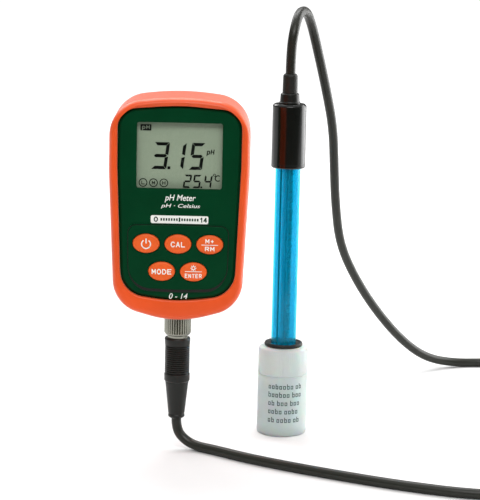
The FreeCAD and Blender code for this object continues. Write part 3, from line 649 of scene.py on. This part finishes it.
def make_boot():
    """The boot's skin: back lip, rounded back edge, side, front roll, inner band, rim and inner walls."""
    depth, lip_in, back_radius = 36.0, 4.5, 3.6
    roll_in, roll_deep = 2.5, 3.8
    fall, rim_radius = 0.4, 0.8
    wall, shoulder, back_lip = 2.5, 33.4, 1.7
    rings = []
    for inset, level in ((lip_in, 1.5), (lip_in, 0.35), (lip_in - 0.3, 0.0)):
        rings.append(meter_ring(METER_OUTLINE, inset, level))
    for turn in quarter_turn(8):
        inset, level = back_radius * (1 - math.sin(turn)), back_radius * (1 - math.cos(turn))
        rings.append(meter_ring(METER_OUTLINE, inset, level))
    for level in (12.0, 20.0, 27.0):
        rings.append(meter_ring(METER_OUTLINE, 0.0, level))
    for turn in quarter_turn(12):
        inset, level = roll_in * (1 - math.cos(turn)), depth - roll_deep * (1 - math.sin(turn))
        rings.append(meter_ring(METER_OUTLINE, inset, level))
    for turn in quarter_turn(5):
        inset = -rim_radius * (1 - math.sin(turn))
        rings.append(meter_ring(OPENING_OUTLINE, inset, depth - fall - rim_radius * (1 - math.cos(turn))))
    rings.append(meter_ring(OPENING_OUTLINE, 0.0, shoulder + 0.1))
    for level in (shoulder, back_lip):
        rings.append(meter_ring(METER_OUTLINE, wall, level))
    boot = loft("boot", rings, "boot_rubber", closed=True, sharp=50.0)
    drill = [(0.001, -60.0, 0), (0.001, -46.0, 0), (6.6, -46.0, 0), (6.6, -60.0, 0)]
    hole = lathe("hole", PLUG_AXIS, drill, "boot_rubber")
    return stands_for(carve(boot, hole), "meter", "boot_rubber", "rubber_boot")


# ---------------------------------------------------------------- keys
KEY_NODES = ("key_power", "key_calibrate", "key_recall", "key_mode", "key_enter")
KEY_LONG, KEY_SHORT = 6.2, 4.45
KEY_FLANGE = 0.8
KEY_CROWN = 0.55


def key_face(x, z, centre):
    """Depth of a key's domed face at a point, in millimetres."""
    front = -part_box("key_power")[0].y / MM
    reach = ((x - centre.x / MM) / KEY_LONG) ** 2 + ((z - centre.z / MM) / KEY_SHORT) ** 2
    return front - KEY_CROWN * min(reach, 1.0) ** 1.2


def oval_ring(centre, long_half, short_half, depth, count=72):
    ring = []
    for k in range(count):
        angle = 2 * math.pi * k / count
        x = centre.x / MM + long_half * math.cos(angle)
        z = centre.z / MM + short_half * math.sin(angle)
        ring.append(at(x, depth, z))
    return ring


def make_key(node):
    """A domed oval key with a soft edge and the flange that holds it in."""
    low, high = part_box(node)
    centre = (low + high) / 2
    back, front = -high.y / MM, -low.y / MM
    rings = [
        oval_ring(centre, KEY_LONG + KEY_FLANGE, KEY_SHORT + KEY_FLANGE, back),
        oval_ring(centre, KEY_LONG + KEY_FLANGE, KEY_SHORT + KEY_FLANGE, back + 0.8),
        oval_ring(centre, KEY_LONG, KEY_SHORT, back + 0.8),
    ]
    shoulder = 0.7
    edge = front - KEY_CROWN
    for step in range(6):
        angle = math.pi / 2 * step / 5
        inset = shoulder * 0.6 * (1 - math.cos(angle))
        level = edge - shoulder * (1 - math.sin(angle))
        rings.append(oval_ring(centre, KEY_LONG - inset, KEY_SHORT - inset, level))
    for share in (0.88, 0.8, 0.7, 0.6, 0.5, 0.4, 0.3, 0.2, 0.1, 0.03):
        level = front - KEY_CROWN * share**2.4
        rings.append(oval_ring(centre, KEY_LONG * share, KEY_SHORT * share, level))
    key = loft(node.replace("key_", "") + "_cap", rings, "key_rubber", sharp=40.0)
    return stands_for(key, f"{node[4:]}_key", "key_rubber", node)


# ---------------------------------------------------------------- printing
def letter_mesh(text, lean, weight):
    """The flat mesh of a line of text."""
    font = bpy.data.curves.new("text", "FONT")
    font.body = text
    font.shear = lean
    font.offset = weight
    font.extrude = 0.01
    font.resolution_u = 6
    holder = bpy.data.objects.new("text", font)
    mesh = bpy.data.meshes.new_from_object(holder)
    bpy.data.objects.remove(holder)
    bpy.data.curves.remove(font)
    return mesh


def text_piece(name, text, extent, centre, place, slot, lean=0.0, weight=0.0):
    """Text scaled into an extent (width, height) about a centre; place(x, z, lift) gives its points."""
    mesh = letter_mesh(text, lean, weight)
    xs, ys = [v.co.x for v in mesh.vertices], [v.co.y for v in mesh.vertices]
    wide, tall = max(xs) - min(xs), max(ys) - min(ys)
    points = []
    for vertex in mesh.vertices:
        x = centre[0] + ((vertex.co.x - min(xs)) / wide - 0.5) * extent[0]
        z = centre[1] + ((vertex.co.y - min(ys)) / tall - 0.5) * extent[1]
        points.append(place(x, z, 0.03 if vertex.co.z > 0 else 0.0))
    faces = [tuple(face.vertices) for face in mesh.polygons]
    bpy.data.meshes.remove(mesh)
    return add_piece(name, points, faces, slot)


def flat_at(depth):
    """Places points on a flat front face at a depth in millimetres."""
    return lambda x, z, lift: at(x, depth + 0.005 + lift, z)


def key_at(centre):
    """Places points on a key's domed face."""
    return lambda x, z, lift: at(x, key_face(x, z, centre) + 0.01 + lift, z)


def band(x, z, radius, width, start=0.0, sweep=360.0, steps=40):
    """Quads along part of a ring."""
    shapes = []
    for k in range(steps):
        a = math.radians(start + sweep * k / steps)
        b = math.radians(start + sweep * (k + 1) / steps)
        inner, outer = radius - width / 2, radius + width / 2
        corners = ((inner, a), (outer, a), (outer, b), (inner, b))
        shapes.append([(x + r * math.cos(t), z + r * math.sin(t)) for r, t in corners])
    return shapes


def bar(x, z, width, height, turn=0.0):
    """A rectangle about a point, turned by an angle in degrees."""
    spin = Matrix.Rotation(math.radians(turn), 2)
    halves = ((-0.5, -0.5), (0.5, -0.5), (0.5, 0.5), (-0.5, 0.5))
    corners = [spin @ Vector((a * width, b * height)) for a, b in halves]
    return [(x + corner.x, z + corner.y) for corner in corners]


GLYPHS = {
    "A": (((0, 0), (0.5, 1), (1, 0)), ((0.2, 0.35), (0.8, 0.35))),
    "C": (((1, 0.2), (0.75, 0), (0.3, 0), (0, 0.3), (0, 0.7), (0.3, 1), (0.75, 1), (1, 0.8)),),
    "D": (((0, 0), (0, 1), (0.6, 1), (1, 0.7), (1, 0.3), (0.6, 0), (0, 0)),),
    "E": (((1, 0), (0, 0), (0, 1), (1, 1)), ((0, 0.52), (0.85, 0.52))),
    "H": (((0, 0), (0, 1)), ((1, 0), (1, 1)), ((0, 0.5), (1, 0.5))),
    "L": (((0, 1), (0, 0), (1, 0)),),
    "M": (((0, 0), (0, 1), (0.5, 0.3), (1, 1), (1, 0)),),
    "N": (((0, 0), (0, 1), (1, 0), (1, 1)),),
    "O": (((0.3, 0), (0.7, 0), (1, 0.3), (1, 0.7), (0.7, 1), (0.3, 1), (0, 0.7), (0, 0.3), (0.3, 0)),),
    "R": (((0, 0), (0, 1), (0.75, 1), (1, 0.85), (1, 0.6), (0.75, 0.47), (0, 0.47)), ((0.5, 0.47), (1, 0))),
    "T": (((0, 1), (1, 1)), ((0.5, 1), (0.5, 0))),
    "p": (((0, -0.4), (0, 0.7), (0.7, 0.7), (0.9, 0.5), (0.9, 0.2), (0.7, 0), (0, 0)),),
    "+": (((0.5, 0.1), (0.5, 0.8)), ((0.15, 0.45), (0.85, 0.45))),
    "1": (((0.2, 0.75), (0.6, 1), (0.6, 0)),),
    "4": (((0.75, 0), (0.75, 1), (0, 0.3), (1, 0.3)),),
}


def strokes(text, centre, extent, gap, weight, lean=0.0):
    """A line of plain letters as short bars, in an extent (width, height) about a centre (x, z)."""
    wide = (extent[0] - weight - gap * (len(text) - 1)) / len(text)
    tall = extent[1] - weight
    left, foot = centre[0] - (extent[0] - weight) / 2, centre[1] - tall / 2
    shapes = []
    for k, letter in enumerate(text):
        for line in GLYPHS[letter]:
            start = left + k * (wide + gap)
            corners = [Vector((start + a * wide + lean * b * tall, foot + b * tall)) for a, b in line]
            for start, end in zip(corners, corners[1:]):
                along = end - start
                turn = math.degrees(math.atan2(along.y, along.x))
                middle_point = (start + end) / 2
                shapes.append(bar(middle_point.x, middle_point.y, along.length + 0.7 * weight, weight, turn))
    return shapes


def rule(x, z, width, height, pieces=16):
    """A long flat bar in short lengths, which follow a domed face."""
    step = width / pieces
    return [bar(x - width / 2 + step * (k + 0.5), z, step, height) for k in range(pieces)]


def printed(name, shapes, place, slot, lift=0.03):
    """Flat shapes printed on a surface."""
    points, faces = [], []
    for shape in shapes:
        base, count = len(points), len(shape)
        for level in (0.0, lift):
            points.extend(place(x, z, level) for x, z in shape)
        faces.append(tuple(base + k for k in range(count)))
        faces.append(tuple(base + count + k for k in range(count)))
        for k in range(count):
            on = (k + 1) % count
            faces.append((base + k, base + on, base + count + on, base + count + k))
    return add_piece(name, points, faces, slot)


def make_legends():
    """The keys' legends: a power sign, CAL, memory and recall, MODE, and a light sign over ENTER."""
    made = []
    centres = {node: middle(node) for node in KEY_NODES}

    def spot(node, dx, dz):
        return (centres[node].x / MM + dx, centres[node].z / MM + dz)

    def word(node, name, text, extent, gap, weight, dz=0.0):
        sign(node, name, strokes(text, spot(node, 0.0, dz), extent, gap, weight))

    def sign(node, name, shapes):
        made.append((printed(name, shapes, key_at(centres[node]), "legend_white", lift=0.06), node))

    x, z = spot("key_power", 0.0, 0.0)
    ring = band(x, z - 0.1, 2.05, 0.55, start=125.0, sweep=290.0)
    sign("key_power", "power_sign", ring + [bar(x, z + 1.35, 0.55, 2.3)])
    word("key_calibrate", "calibrate_legend", "CAL", (6.6, 2.6), 0.9, 0.46)
    word("key_recall", "memory_legend", "M+", (4.1, 2.1), 0.8, 0.4, dz=1.8)
    x, z = spot("key_recall", 0.0, 0.0)
    sign("key_recall", "recall_rule", rule(x, z, 7.6, 0.3))
    word("key_recall", "recall_legend", "RM", (4.4, 2.1), 0.9, 0.4, dz=-1.8)
    word("key_mode", "mode_legend", "MODE", (9.2, 2.5), 0.9, 0.46)
    x, z = spot("key_enter", 0.0, 2.0)
    rays = []
    for a in ray_angles(8):
        rays.append(bar(x + 1.15 * math.cos(a), z + 1.15 * math.sin(a), 0.5, 0.28, math.degrees(a)))
    sign("key_enter", "light_sign", band(x, z, 0.7, 0.32) + rays)
    x, z = spot("key_enter", 0.0, 0.35)
    sign("key_enter", "enter_rule", rule(x, z, 7.8, 0.3))
    word("key_enter", "enter_legend", "ENTER", (7.8, 2.0), 0.72, 0.34, dz=-1.7)
    for piece, node in made:
        stands_for(piece, f"{node[4:]}_key", "white_plastic")


def ray_angles(count):
    return [2 * math.pi * k / count for k in range(count)]


def make_face_print():
    """What is printed on the green face: the kind of instrument, a pH scale bar and the range."""
    face = flat_at(FACE / MM)
    white = "legend_white"
    pieces = [
        text_piece("title", "pH Meter", (14.3, 3.7), (0.7, 5.8), face, white, lean=0.22, weight=0.01),
        text_piece(
            "subtitle", "pH · Celsius", (18.0, 2.3), (0.9, 2.2), face, white, lean=0.22, weight=0.006
        ),
        text_piece("range_note", "0 - 14", (8.6, 2.6), (0.5, -40.0), face, white, lean=0.22, weight=0.004),
    ]
    centre_x, centre_z, wide, tall, corner = 0.5, -4.0, 26.6, 3.7, 0.8
    half_wide, half_tall = wide / 2, tall / 2
    corners = box_corners(centre_x, centre_z, half_wide, half_tall, corner)
    plate = [tuple(point) for point in round_corners(corners, 6, True)]
    pieces.append(printed("scale_bar", [plate], face, white, lift=0.04))
    over = flat_at(FACE / MM + 0.04)
    dots, first, step = 15, centre_x - 8.4, 1.2
    squares = [bar(first + step * k, centre_z, 0.75, 1.9 if k == dots // 2 else 1.2) for k in range(dots)]
    pieces.append(printed("scale_squares", squares, over, "green_case"))
    ends = strokes("O", (centre_x - 10.9, centre_z), (1.9, 2.4), 0.0, 0.5)
    ends += strokes("14", (centre_x + 11.0, centre_z), (3.5, 2.4), 0.5, 0.5)
    pieces.append(printed("scale_ends", ends, over, "green_case"))
    for piece in pieces:
        stands_for(piece, "meter", "white_plastic")


# ---------------------------------------------------------------- display
SEGMENTS = {"1": "bc", "2": "abged", "3": "abgcd", "4": "fgbc", "5": "afgcd"}
SLANT = 0.13


def digit_shapes(number, left, foot, wide, tall, stroke):
    """The lit segments of a seven-segment digit, each a tapered bar, leaning a little."""
    half = tall / 2
    gap = stroke * 0.12
    bars = {
        "a": ((0, tall), (wide, tall), "across"),
        "g": ((0, half), (wide, half), "across"),
        "d": ((0, 0), (wide, 0), "across"),
        "f": ((0, half), (0, tall), "up"),
        "b": ((wide, half), (wide, tall), "up"),
        "e": ((0, 0), (0, half), "up"),
        "c": ((wide, 0), (wide, half), "up"),
    }
    shapes = []
    for key in SEGMENTS[number]:
        (x0, z0), (x1, z1), way = bars[key]
        inward = stroke / 2
        if way == "across":
            z = min(max(z0, inward), tall - inward)
            lean_in = 0.0 if key == "g" else inward * 0.9
            side = 1 if key == "a" else -1
            outer, inner = z + side * inward, z - side * inward
            start, end = x0 + gap, x1 - gap
            shape = [(start, outer), (end, outer), (end - 2 * lean_in, inner), (start + 2 * lean_in, inner)]
            if key == "g":
                left_tip, right_tip = x0 + 0.35 * stroke, x1 - 0.35 * stroke
                shape = [
                    (left_tip + inward, z + inward), (right_tip - inward, z + inward), (right_tip, z),
                    (right_tip - inward, z - inward), (left_tip + inward, z - inward), (left_tip, z),
                ]
        else:
            x = min(max(x0, inward), wide - inward)
            side = 1 if x0 > 0 else -1
            far, near = (z1 - gap, z0) if key in "fb" else (z0 + gap, z1)
            way_out = stroke if key in "fb" else -stroke
            outer, inner = x + side * inward, x - side * inward
            shape = [
                (outer, near + 0.2 * way_out), (outer, far),
                (inner, far - 0.9 * way_out), (inner, near + 0.6 * way_out),
            ]
        shapes.append([(left + x + SLANT * z, foot + z) for x, z in shape])
    return shapes


PANEL_OUTLINE = [
    (0.0, -6.6, 400.0), (23.2, -6.9, 3.8), (23.0, -24.0, 200.0), (22.6, -36.2, 10.5), (0.0, -37.0, 120.0),
]


def make_panel_groove_and_shadow():
    """A dark groove round the keypad panel, widened under its lower edge into a painted shadow of the raised
    panel, with a fine bead outside it.
    """
    depth = FACE / MM
    for name, near, far, drop, lift, slot in (
        ("panel_groove_and_shadow", 0.0, 0.3, 1.1, 0.03, "black_rubber"),
        ("panel_bead", 0.3, 0.7, 1.1, 0.2, "green_case"),
    ):
        rings = []
        for reach, level in ((near, 0.0), (near, lift), (far, lift), (far, 0.0)):
            ring = []
            for point in meter_ring(PANEL_OUTLINE, -reach, depth + level):
                # towards the bottom the outer rings drop, so the dark groove widens into a painted shadow
                # under the panel and the bead moves down with it
                low_share = min(max((-28.0 * MM - point.z) / (8.0 * MM), 0.0), 1.0)
                shift = drop * low_share * MM if reach > 0.0 else 0.0
                ring.append(point - UP * shift)
            rings.append(ring)
        stands_for(loft(name, rings, slot, closed=True), "meter", "green_case")


def make_reading():
    """A reading of 3.15 pH at 25.4 degrees, with the unit marks and calibration marks of such a display."""
    glass = flat_at(GLASS_FACE / MM)
    ink = "segment_ink"
    big = []
    for number, left, wide in (("3", -13.2, 7.1), ("1", -4.7, 6.3), ("5", 4.1, 6.2)):
        big += digit_shapes(number, left, 18.9, wide, 12.5, 1.5)
    big.append(bar(-4.9, 19.6, 1.35, 1.35))
    pieces = [printed("main_reading", big, glass, ink)]
    small = []
    for number, left in (("2", 1.6), ("5", 6.0), ("4", 11.1)):
        small += digit_shapes(number, left, 10.4, 3.5, 6.2, 0.82)
    small.append(bar(10.2, 10.8, 0.8, 0.8))
    small += band(16.2, 16.6, 0.5, 0.3, steps=20)
    small += band(17.8, 15.1, 1.25, 0.5, start=50.0, sweep=260.0)
    pieces.append(printed("second_reading", small, glass, ink))
    circles = []
    for letter, x in (("L", -16.7), ("M", -11.9), ("H", -7.1)):
        circles += band(x, 12.5, 1.8, 0.42)
        circles += strokes(letter, (x, 12.5), (1.5, 1.7), 0.0, 0.34)
    pieces.append(printed("mark_rings", circles, glass, ink))
    pieces.append(printed("unit_box", [bar(-15.7, 38.1, 5.0, 2.9)], glass, ink))
    over = flat_at(GLASS_FACE / MM + 0.03)
    box_text = strokes("pH", (-15.7, 38.3), (3.6, 1.8), 0.7, 0.4)
    pieces.append(printed("unit_box_text", box_text, over, "display_glass"))
    pieces.append(printed("unit", strokes("pH", (14.1, 27.3), (3.4, 2.4), 0.6, 0.46, lean=0.12), glass, ink))
    for piece in pieces:
        stands_for(piece, "meter", "display_glass")


# ---------------------------------------------------------------- plug
def make_plug():
    """The knurled nickel nut, the ribbed grip, its rolled collar and the soft tapered sleeve."""
    knurls = 32
    nut = [
        (4.4, 1.0, 0), (3.7, 1.0, 0), (3.7, 0, 0), (5.6, 0, 0.15), (6.0, 0.5, 0.2), (6.0, 0.95, 0),
        (6.4, 1.15, 0), (6.4, 8.4, 0), (6.0, 8.55, 0.1), (6.0, 8.9, 0.15), (4.4, 8.9, 0),
    ]
    ring = turned(
        "coupling_ring", "knurled_ring", PLUG_AXIS, "plug_ring", "chrome", nut, segments=knurls * 8,
        steps=3, groove=notches(knurls, 0.85, 1.6, 6.0, 1.1, 8.45), sharp=30.0,
    )
    ribs, first_rib, rib_top = 13, 0.3, 13.4
    pitch = (rib_top - first_rib) / ribs
    stack = [(2.8, 0, 0), (5.75, 0, 0.2)]
    for k in range(ribs):
        low = first_rib + pitch * k
        stack += [(5.45, low + pitch * 0.12, 0)]
        stack += [(5.9, low + pitch * share, 0.12) for share in (0.4, 0.78)]
    stack += [
        (5.45, rib_top, 0), (5.95, 13.7, 0.15), (6.15, 16.8, 0.3), (5.8, 17.4, 0.25), (4.0, 17.4, 0),
        (2.8, 12.4, 0),
    ]
    grip = turned(
        "plug_grip", "ribbed_grip", PLUG_AXIS, "meter", "plug_plastic", stack, segments=72, steps=3, sharp=40.0
    )
    roll = [(2.8, 0, 0), (5.6, 0, 0.2), (6.1, 0.7, 0.4), (6.1, 3.7, 0.25), (5.8, 4.0, 0), (2.8, 4.0, 0)]
    collar = turned("plug_collar", "rolled_collar", PLUG_AXIS, "meter", "plug_plastic", roll, segments=72)
    taper = [
        (2.4, 0, 0), (3.3, 0, 0.3), (3.95, 0.6, 0.3), (3.95, 1.5, 0.2), (3.75, 1.9, 0.2),
        (3.95, 2.6, 0.3), (5.3, 15.4, 1.0), (5.6, 17.6, 0.2), (5.5, 17.8, 0), (2.4, 17.8, 0),
    ]
    relief = turned("strain_relief", "tapered_relief", PLUG_AXIS, "meter", "plug_plastic", taper, segments=72)
    return ring, grip, collar, relief


# ---------------------------------------------------------------- electrode
def make_electrode():
    """The polished cap with a thin ring above its foot, the stepped collar and the cable's sleeve."""
    cap = [
        (6.15, 0, 0), (7.9, 0, 0.25), (8.3, 0.5, 0.3), (8.3, 1.6, 0), (8.22, 1.7, 0), (8.22, 1.9, 0),
        (8.3, 2.0, 0), (8.16, 30.1, 0.9), (7.3, 31.0, 0.5), (2.4, 31.0, 0), (2.4, 23.0, 0), (6.15, 17.8, 0),
    ]
    turned("electrode_cap", "polished_cap", PROBE_AXIS, "electrode", "black_gloss", cap, segments=128)
    collar = [
        (2.4, 0, 0), (5.15, 0, 0.1), (5.1, 0.7, 0.2), (4.75, 1.1, 0.4), (4.5, 4.6, 0.4), (4.1, 5.0, 0.2),
        (2.4, 5.0, 0),
    ]
    turned("cap_collar", "stepped_collar", PROBE_AXIS, "electrode", "black_plastic", collar)
    sleeve = [(2.4, 0, 0), (3.65, 0, 0), (3.5, 8.4, 0.7), (2.9, 9.4, 0.4), (2.4, 9.4, 0)]
    turned("cable_sleeve", "soft_sleeve", PROBE_AXIS, "electrode", "black_rubber", sleeve, segments=72)


# ---------------------------------------------------------------- storage bottle
BOTTLE_RADIUS = 12.15


def make_bottle():
    """The milky bottle with its neck, the ribbed screw cap and the rubber ring round the electrode."""
    bottle = [
        (0.001, 0.7, 0), (9.0, 0.5, 0.5), (10.2, 0, 0.4), (BOTTLE_RADIUS, 0, 1.2),
        (BOTTLE_RADIUS, 29.98, 0.12), (9.6, 30.05, 0), (9.6, 40.6, 0.3), (8.3, 40.6, 0.3),
        (8.3, 28.8, 0.5), (10.85, 28.0, 0.8), (10.85, 1.3, 0.8), (0.001, 1.3, 0),
    ]
    turned(
        "storage_bottle", "milky_bottle", PROBE_AXIS, "meter", "bottle_plastic", bottle, segments=128, steps=5
    )
    ribs = 72
    cap = [
        (9.9, 0, 0), (12.1, 0, 0.1), (12.1, 0.95, 0), (12.15, 1.05, 0), (12.15, 11.85, 0), (12.05, 12.0, 0),
        (11.95, 12.8, 0.6), (10.4, 13.4, 0.6), (9.6, 13.5, 0), (6.45, 13.5, 0.1), (6.45, 11.7, 0),
        (9.9, 11.6, 0.2),
    ]
    turned(
        "bottle_cap", "ribbed_cap", PROBE_AXIS, "lid", "bottle_plastic", cap, segments=ribs * 4,
        steps=4, groove=notches(ribs, 0.16, 1.0, 11.0, 1.0, 11.9), sharp=30.0,
    )
    seal = [
        (6.17, 0, 0), (9.1, 0, 0.3), (9.4, 1.0, 0.4), (9.1, 1.9, 0.5), (8.3, 1.9, 0.4), (7.9, 1.2, 0.3),
        (6.17, 1.1, 0.1),
    ]
    turned("seal_ring", "rubber_ring", PROBE_AXIS, "lid", "black_rubber", seal, steps=5)


def make_bottle_marks():
    """Five rows of small open squares and bars where the bottle has its printed note."""
    foot, radius = TABLE / MM, BOTTLE_RADIUS
    wide, tall, rise_up, line = 1.35, 1.8, 0.8, 0.42
    gap, space, row_start, row_end = 0.52, 0.9, -7.3, 10.6
    rows = ((24.2, (7, 2)), (20.1, (6, 3)), (15.9, (2, 3, 3)), (11.7, (4, 4)), (7.4, (2, 4, 2)))
    points, faces = [], []
    for height, words in rows:
        reach = row_start
        for count in words:
            for k in range(count):
                end = reach + wide
                if end < row_end:
                    low = foot + height
                    up = tall + (rise_up if (k + count) % 3 == 0 else 0.0)
                    add_block(points, faces, radius, reach, reach + line, low, up)
                    add_block(points, faces, radius, end - line, end, low, tall)
                    for level in (0.0, tall - line):
                        add_block(points, faces, radius, reach + line, end - line, low + level, line)
                reach = end + gap
            reach += space
    return stands_for(add_piece("bottle_marks", points, faces, "label_ink"), "meter", "bottle_plastic")


def add_block(points, faces, radius, start, end, height, tall):
    """Adds one thin block that follows a cylinder's face; start and end are measured round it."""
    base, steps, lift, sunk = len(points), 3, 0.02, 0.005
    for k in range(steps + 1):
        angle = (start + (end - start) * k / steps) / radius - math.pi / 2
        for reach, level in ((0.0, 0.0), (0.0, tall), (lift, tall), (lift, 0.0)):
            direction = Vector((math.cos(angle), math.sin(angle), 0)) * (radius + reach - sunk)
            points.append(Vector((PROBE_AXIS.x, PROBE_AXIS.y, 0)) + (direction + UP * (height + level)) * MM)
    for k in range(steps):
        low = base + 4 * k
        for j in range(4):
            on = (j + 1) % 4
            faces.append((low + j, low + on, low + 4 + on, low + 4 + j))
    faces.append((base, base + 1, base + 2, base + 3))
    faces.append(tuple(base + 4 * steps + j for j in range(4)))


# ---------------------------------------------------------------- screws
def make_screws(name, node, body, shank_share, head_deep):
    """Pan-head screws with a cross recess, seen from the back, in place of a node's plain pegs."""
    screws = []
    for k, (low, high) in enumerate(solids_of(node)):
        centre = (low + high) / 2
        radius = (high.x - low.x) / 2 / MM
        back, tip = -high.y / MM, -low.y / MM
        head_end = min(back + head_deep, tip)
        shank = radius * shank_share
        corners = [(0.001, back, 0), (radius * 0.75, back, 0.5), (radius, back + 0.45, 0.2)]
        corners.append((radius, head_end, 0))
        if tip > head_end + 0.1:
            corners += [(shank, head_end, 0), (shank, tip - 0.6, 0), (shank * 0.6, tip, 0)]
        corners.append((0.001, corners[-1][1], 0))
        screw = lathe(f"{name}_{k}", Vector((0.0, 0.0, 0.0)), corners, "steel", segments=40, steps=4)
        arm, half = radius * 0.58, radius * 0.14
        plus = [
            (-half, arm), (half, arm), (half, half), (arm, half), (arm, -half), (half, -half),
            (half, -arm), (-half, -arm), (-half, -half), (-arm, -half), (-arm, half), (-half, half),
        ]
        levels = ((back - 0.2, 1.15), (back + head_deep * 0.65, 0.7))
        tool_rings = [[Vector((a * size, b * size, level)) * MM for a, b in plus] for level, size in levels]
        screw = carve(screw, loft("recess", tool_rings, "steel"))
        facing = Matrix.Rotation(math.radians(90.0), 4, "X") @ Matrix.Rotation(0.7 * k, 4, "Z")
        screw.data.transform(Matrix.Translation((centre.x, 0.0, centre.z)) @ facing)
        screws.append(screw)
    return stands_for(merged(name, screws), body, "steel", node)


# ---------------------------------------------------------------- CAD nodes that keep their shape
def finish_cad_nodes():
    """Gives every CAD node the finish of its slot."""
    for name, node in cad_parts.items():
        for entry in node.material_slots:
            slot = entry.material.name.split(".")[0]
            if slot in SPECIAL or slot in FINISHES:
                entry.material = material(slot)
            else:
                print("no finish for", name, slot)
        for face in node.data.polygons:
            face.use_smooth = True


# ---------------------------------------------------------------- studio
def add_light(name, place, target, size, power, colour):
    light = bpy.data.lights.new(name, "AREA")
    light.shape = "RECTANGLE"
    light.size, light.size_y = size
    light.energy = power
    light.color = colour
    lamp = bpy.data.objects.new(name, light)
    lamp.location = place
    lamp.rotation_mode = "QUATERNION"
    lamp.rotation_quaternion = (Vector(target) - Vector(place)).to_track_quat("-Z", "Y")
    lamp.visible_camera = False
    SCENE.collection.objects.link(lamp)
    return lamp


def make_floor():
    """A white table that runs back out of sight; it ends just in front of the object."""
    floor_mesh = bpy.data.meshes.new("floor")
    reach, front = 9.0, -0.32
    corners = [(-reach, front, TABLE), (reach, front, TABLE), (reach, reach, TABLE), (-reach, reach, TABLE)]
    floor_mesh.from_pydata(corners, [], [(0, 1, 2, 3)])
    floor = bpy.data.objects.new("floor", floor_mesh)
    nodes = finish("table_white", (0.78, 0.78, 0.78, 1.0), 0.7, vary=0.0, relief=0.0, Specular_IOR_Level=0.1)
    nodes.set(Emission_Color=(1.0, 1.0, 1.0, 1.0))
    distance = nodes.add("ShaderNodeVectorMath", operation="LENGTH")
    nodes.join(nodes.place, distance.inputs[0])
    glow = nodes.add("ShaderNodeMapRange")
    glow.inputs["From Min"].default_value = 0.25
    glow.inputs["From Max"].default_value = 1.2
    glow.inputs["To Max"].default_value = 0.6
    nodes.join(distance.outputs["Value"], glow.inputs["Value"])
    nodes.join(glow.outputs["Result"], nodes.shader.inputs["Emission Strength"])
    floor.data.materials.append(nodes.material)
    SCENE.collection.objects.link(floor)


def make_world():
    """White to look at; the light that it gives is bright overhead and dim round the horizon."""
    world = bpy.data.worlds.new("studio")
    SCENE.world = world
    world.use_nodes = True
    tree = world.node_tree
    seen = tree.nodes["Background"]
    seen.inputs["Color"].default_value = (1.0, 1.0, 1.0, 1.0)
    place = tree.nodes.new("ShaderNodeTexCoord")
    parts = tree.nodes.new("ShaderNodeSeparateXYZ")
    tree.links.new(place.outputs["Generated"], parts.inputs["Vector"])
    height = tree.nodes.new("ShaderNodeMapRange")
    height.inputs["From Min"].default_value = -1.0
    tree.links.new(parts.outputs["Z"], height.inputs["Value"])
    sky = tree.nodes.new("ShaderNodeValToRGB")
    stops = ((0.0, 0.4), (0.47, 0.12), (0.5, 0.06), (0.62, 0.16), (0.78, 0.6), (1.0, 0.9))
    while len(sky.color_ramp.elements) < len(stops):
        sky.color_ramp.elements.new(0.5)
    for element, (position, level) in zip(sky.color_ramp.elements, stops):
        element.position = position
        element.color = (level, level, level, 1.0)
    tree.links.new(height.outputs["Result"], sky.inputs["Fac"])
    lit = tree.nodes.new("ShaderNodeBackground")
    tree.links.new(sky.outputs["Color"], lit.inputs["Color"])
    ray = tree.nodes.new("ShaderNodeLightPath")
    mix = tree.nodes.new("ShaderNodeMixShader")
    tree.links.new(ray.outputs["Is Camera Ray"], mix.inputs["Fac"])
    tree.links.new(lit.outputs["Background"], mix.inputs[1])
    tree.links.new(seen.outputs["Background"], mix.inputs[2])
    tree.links.new(mix.outputs["Shader"], tree.nodes["World Output"].inputs["Surface"])


def make_studio():
    """Soft light from the upper front, from overhead behind, low on the right and behind on the left."""
    make_floor()
    make_world()
    lights = (
        ("front_light", (0.1, -0.95, 0.85), (0.8, 0.45), 7.6),
        ("top_light", (-0.05, 0.55, 1.0), (0.7, 0.7), 8.0),
        ("right_light", (0.78, 0.4, 0.12), (0.7, 0.9), 9.5),
        ("back_light", (-0.6, 0.9, 0.7), (0.5, 0.5), 4.0),
    )
    for name, place, size, power in lights:
        add_light(name, place, (0.03, 0.0, -0.03), size, power, (1.0, 1.0, 1.0))
    SCENE.view_settings.view_transform = "Standard"


make_camera()
cable, cable_line = make_cable()
tie = make_coil_tie()
make_boot()
for key_node in KEY_NODES:
    make_key(key_node)
make_legends()
make_face_print()
make_reading()
plug_pieces = make_plug()
make_electrode()
make_bottle()
make_bottle_marks()
make_panel_groove_and_shadow()
make_screws("housing_screw_set", "housing_screws", "meter", 0.58, 1.5)
make_screws("door_screw_set", "door_screws", "door", 1.0, 1.8)
finish_cad_nodes()
make_studio()
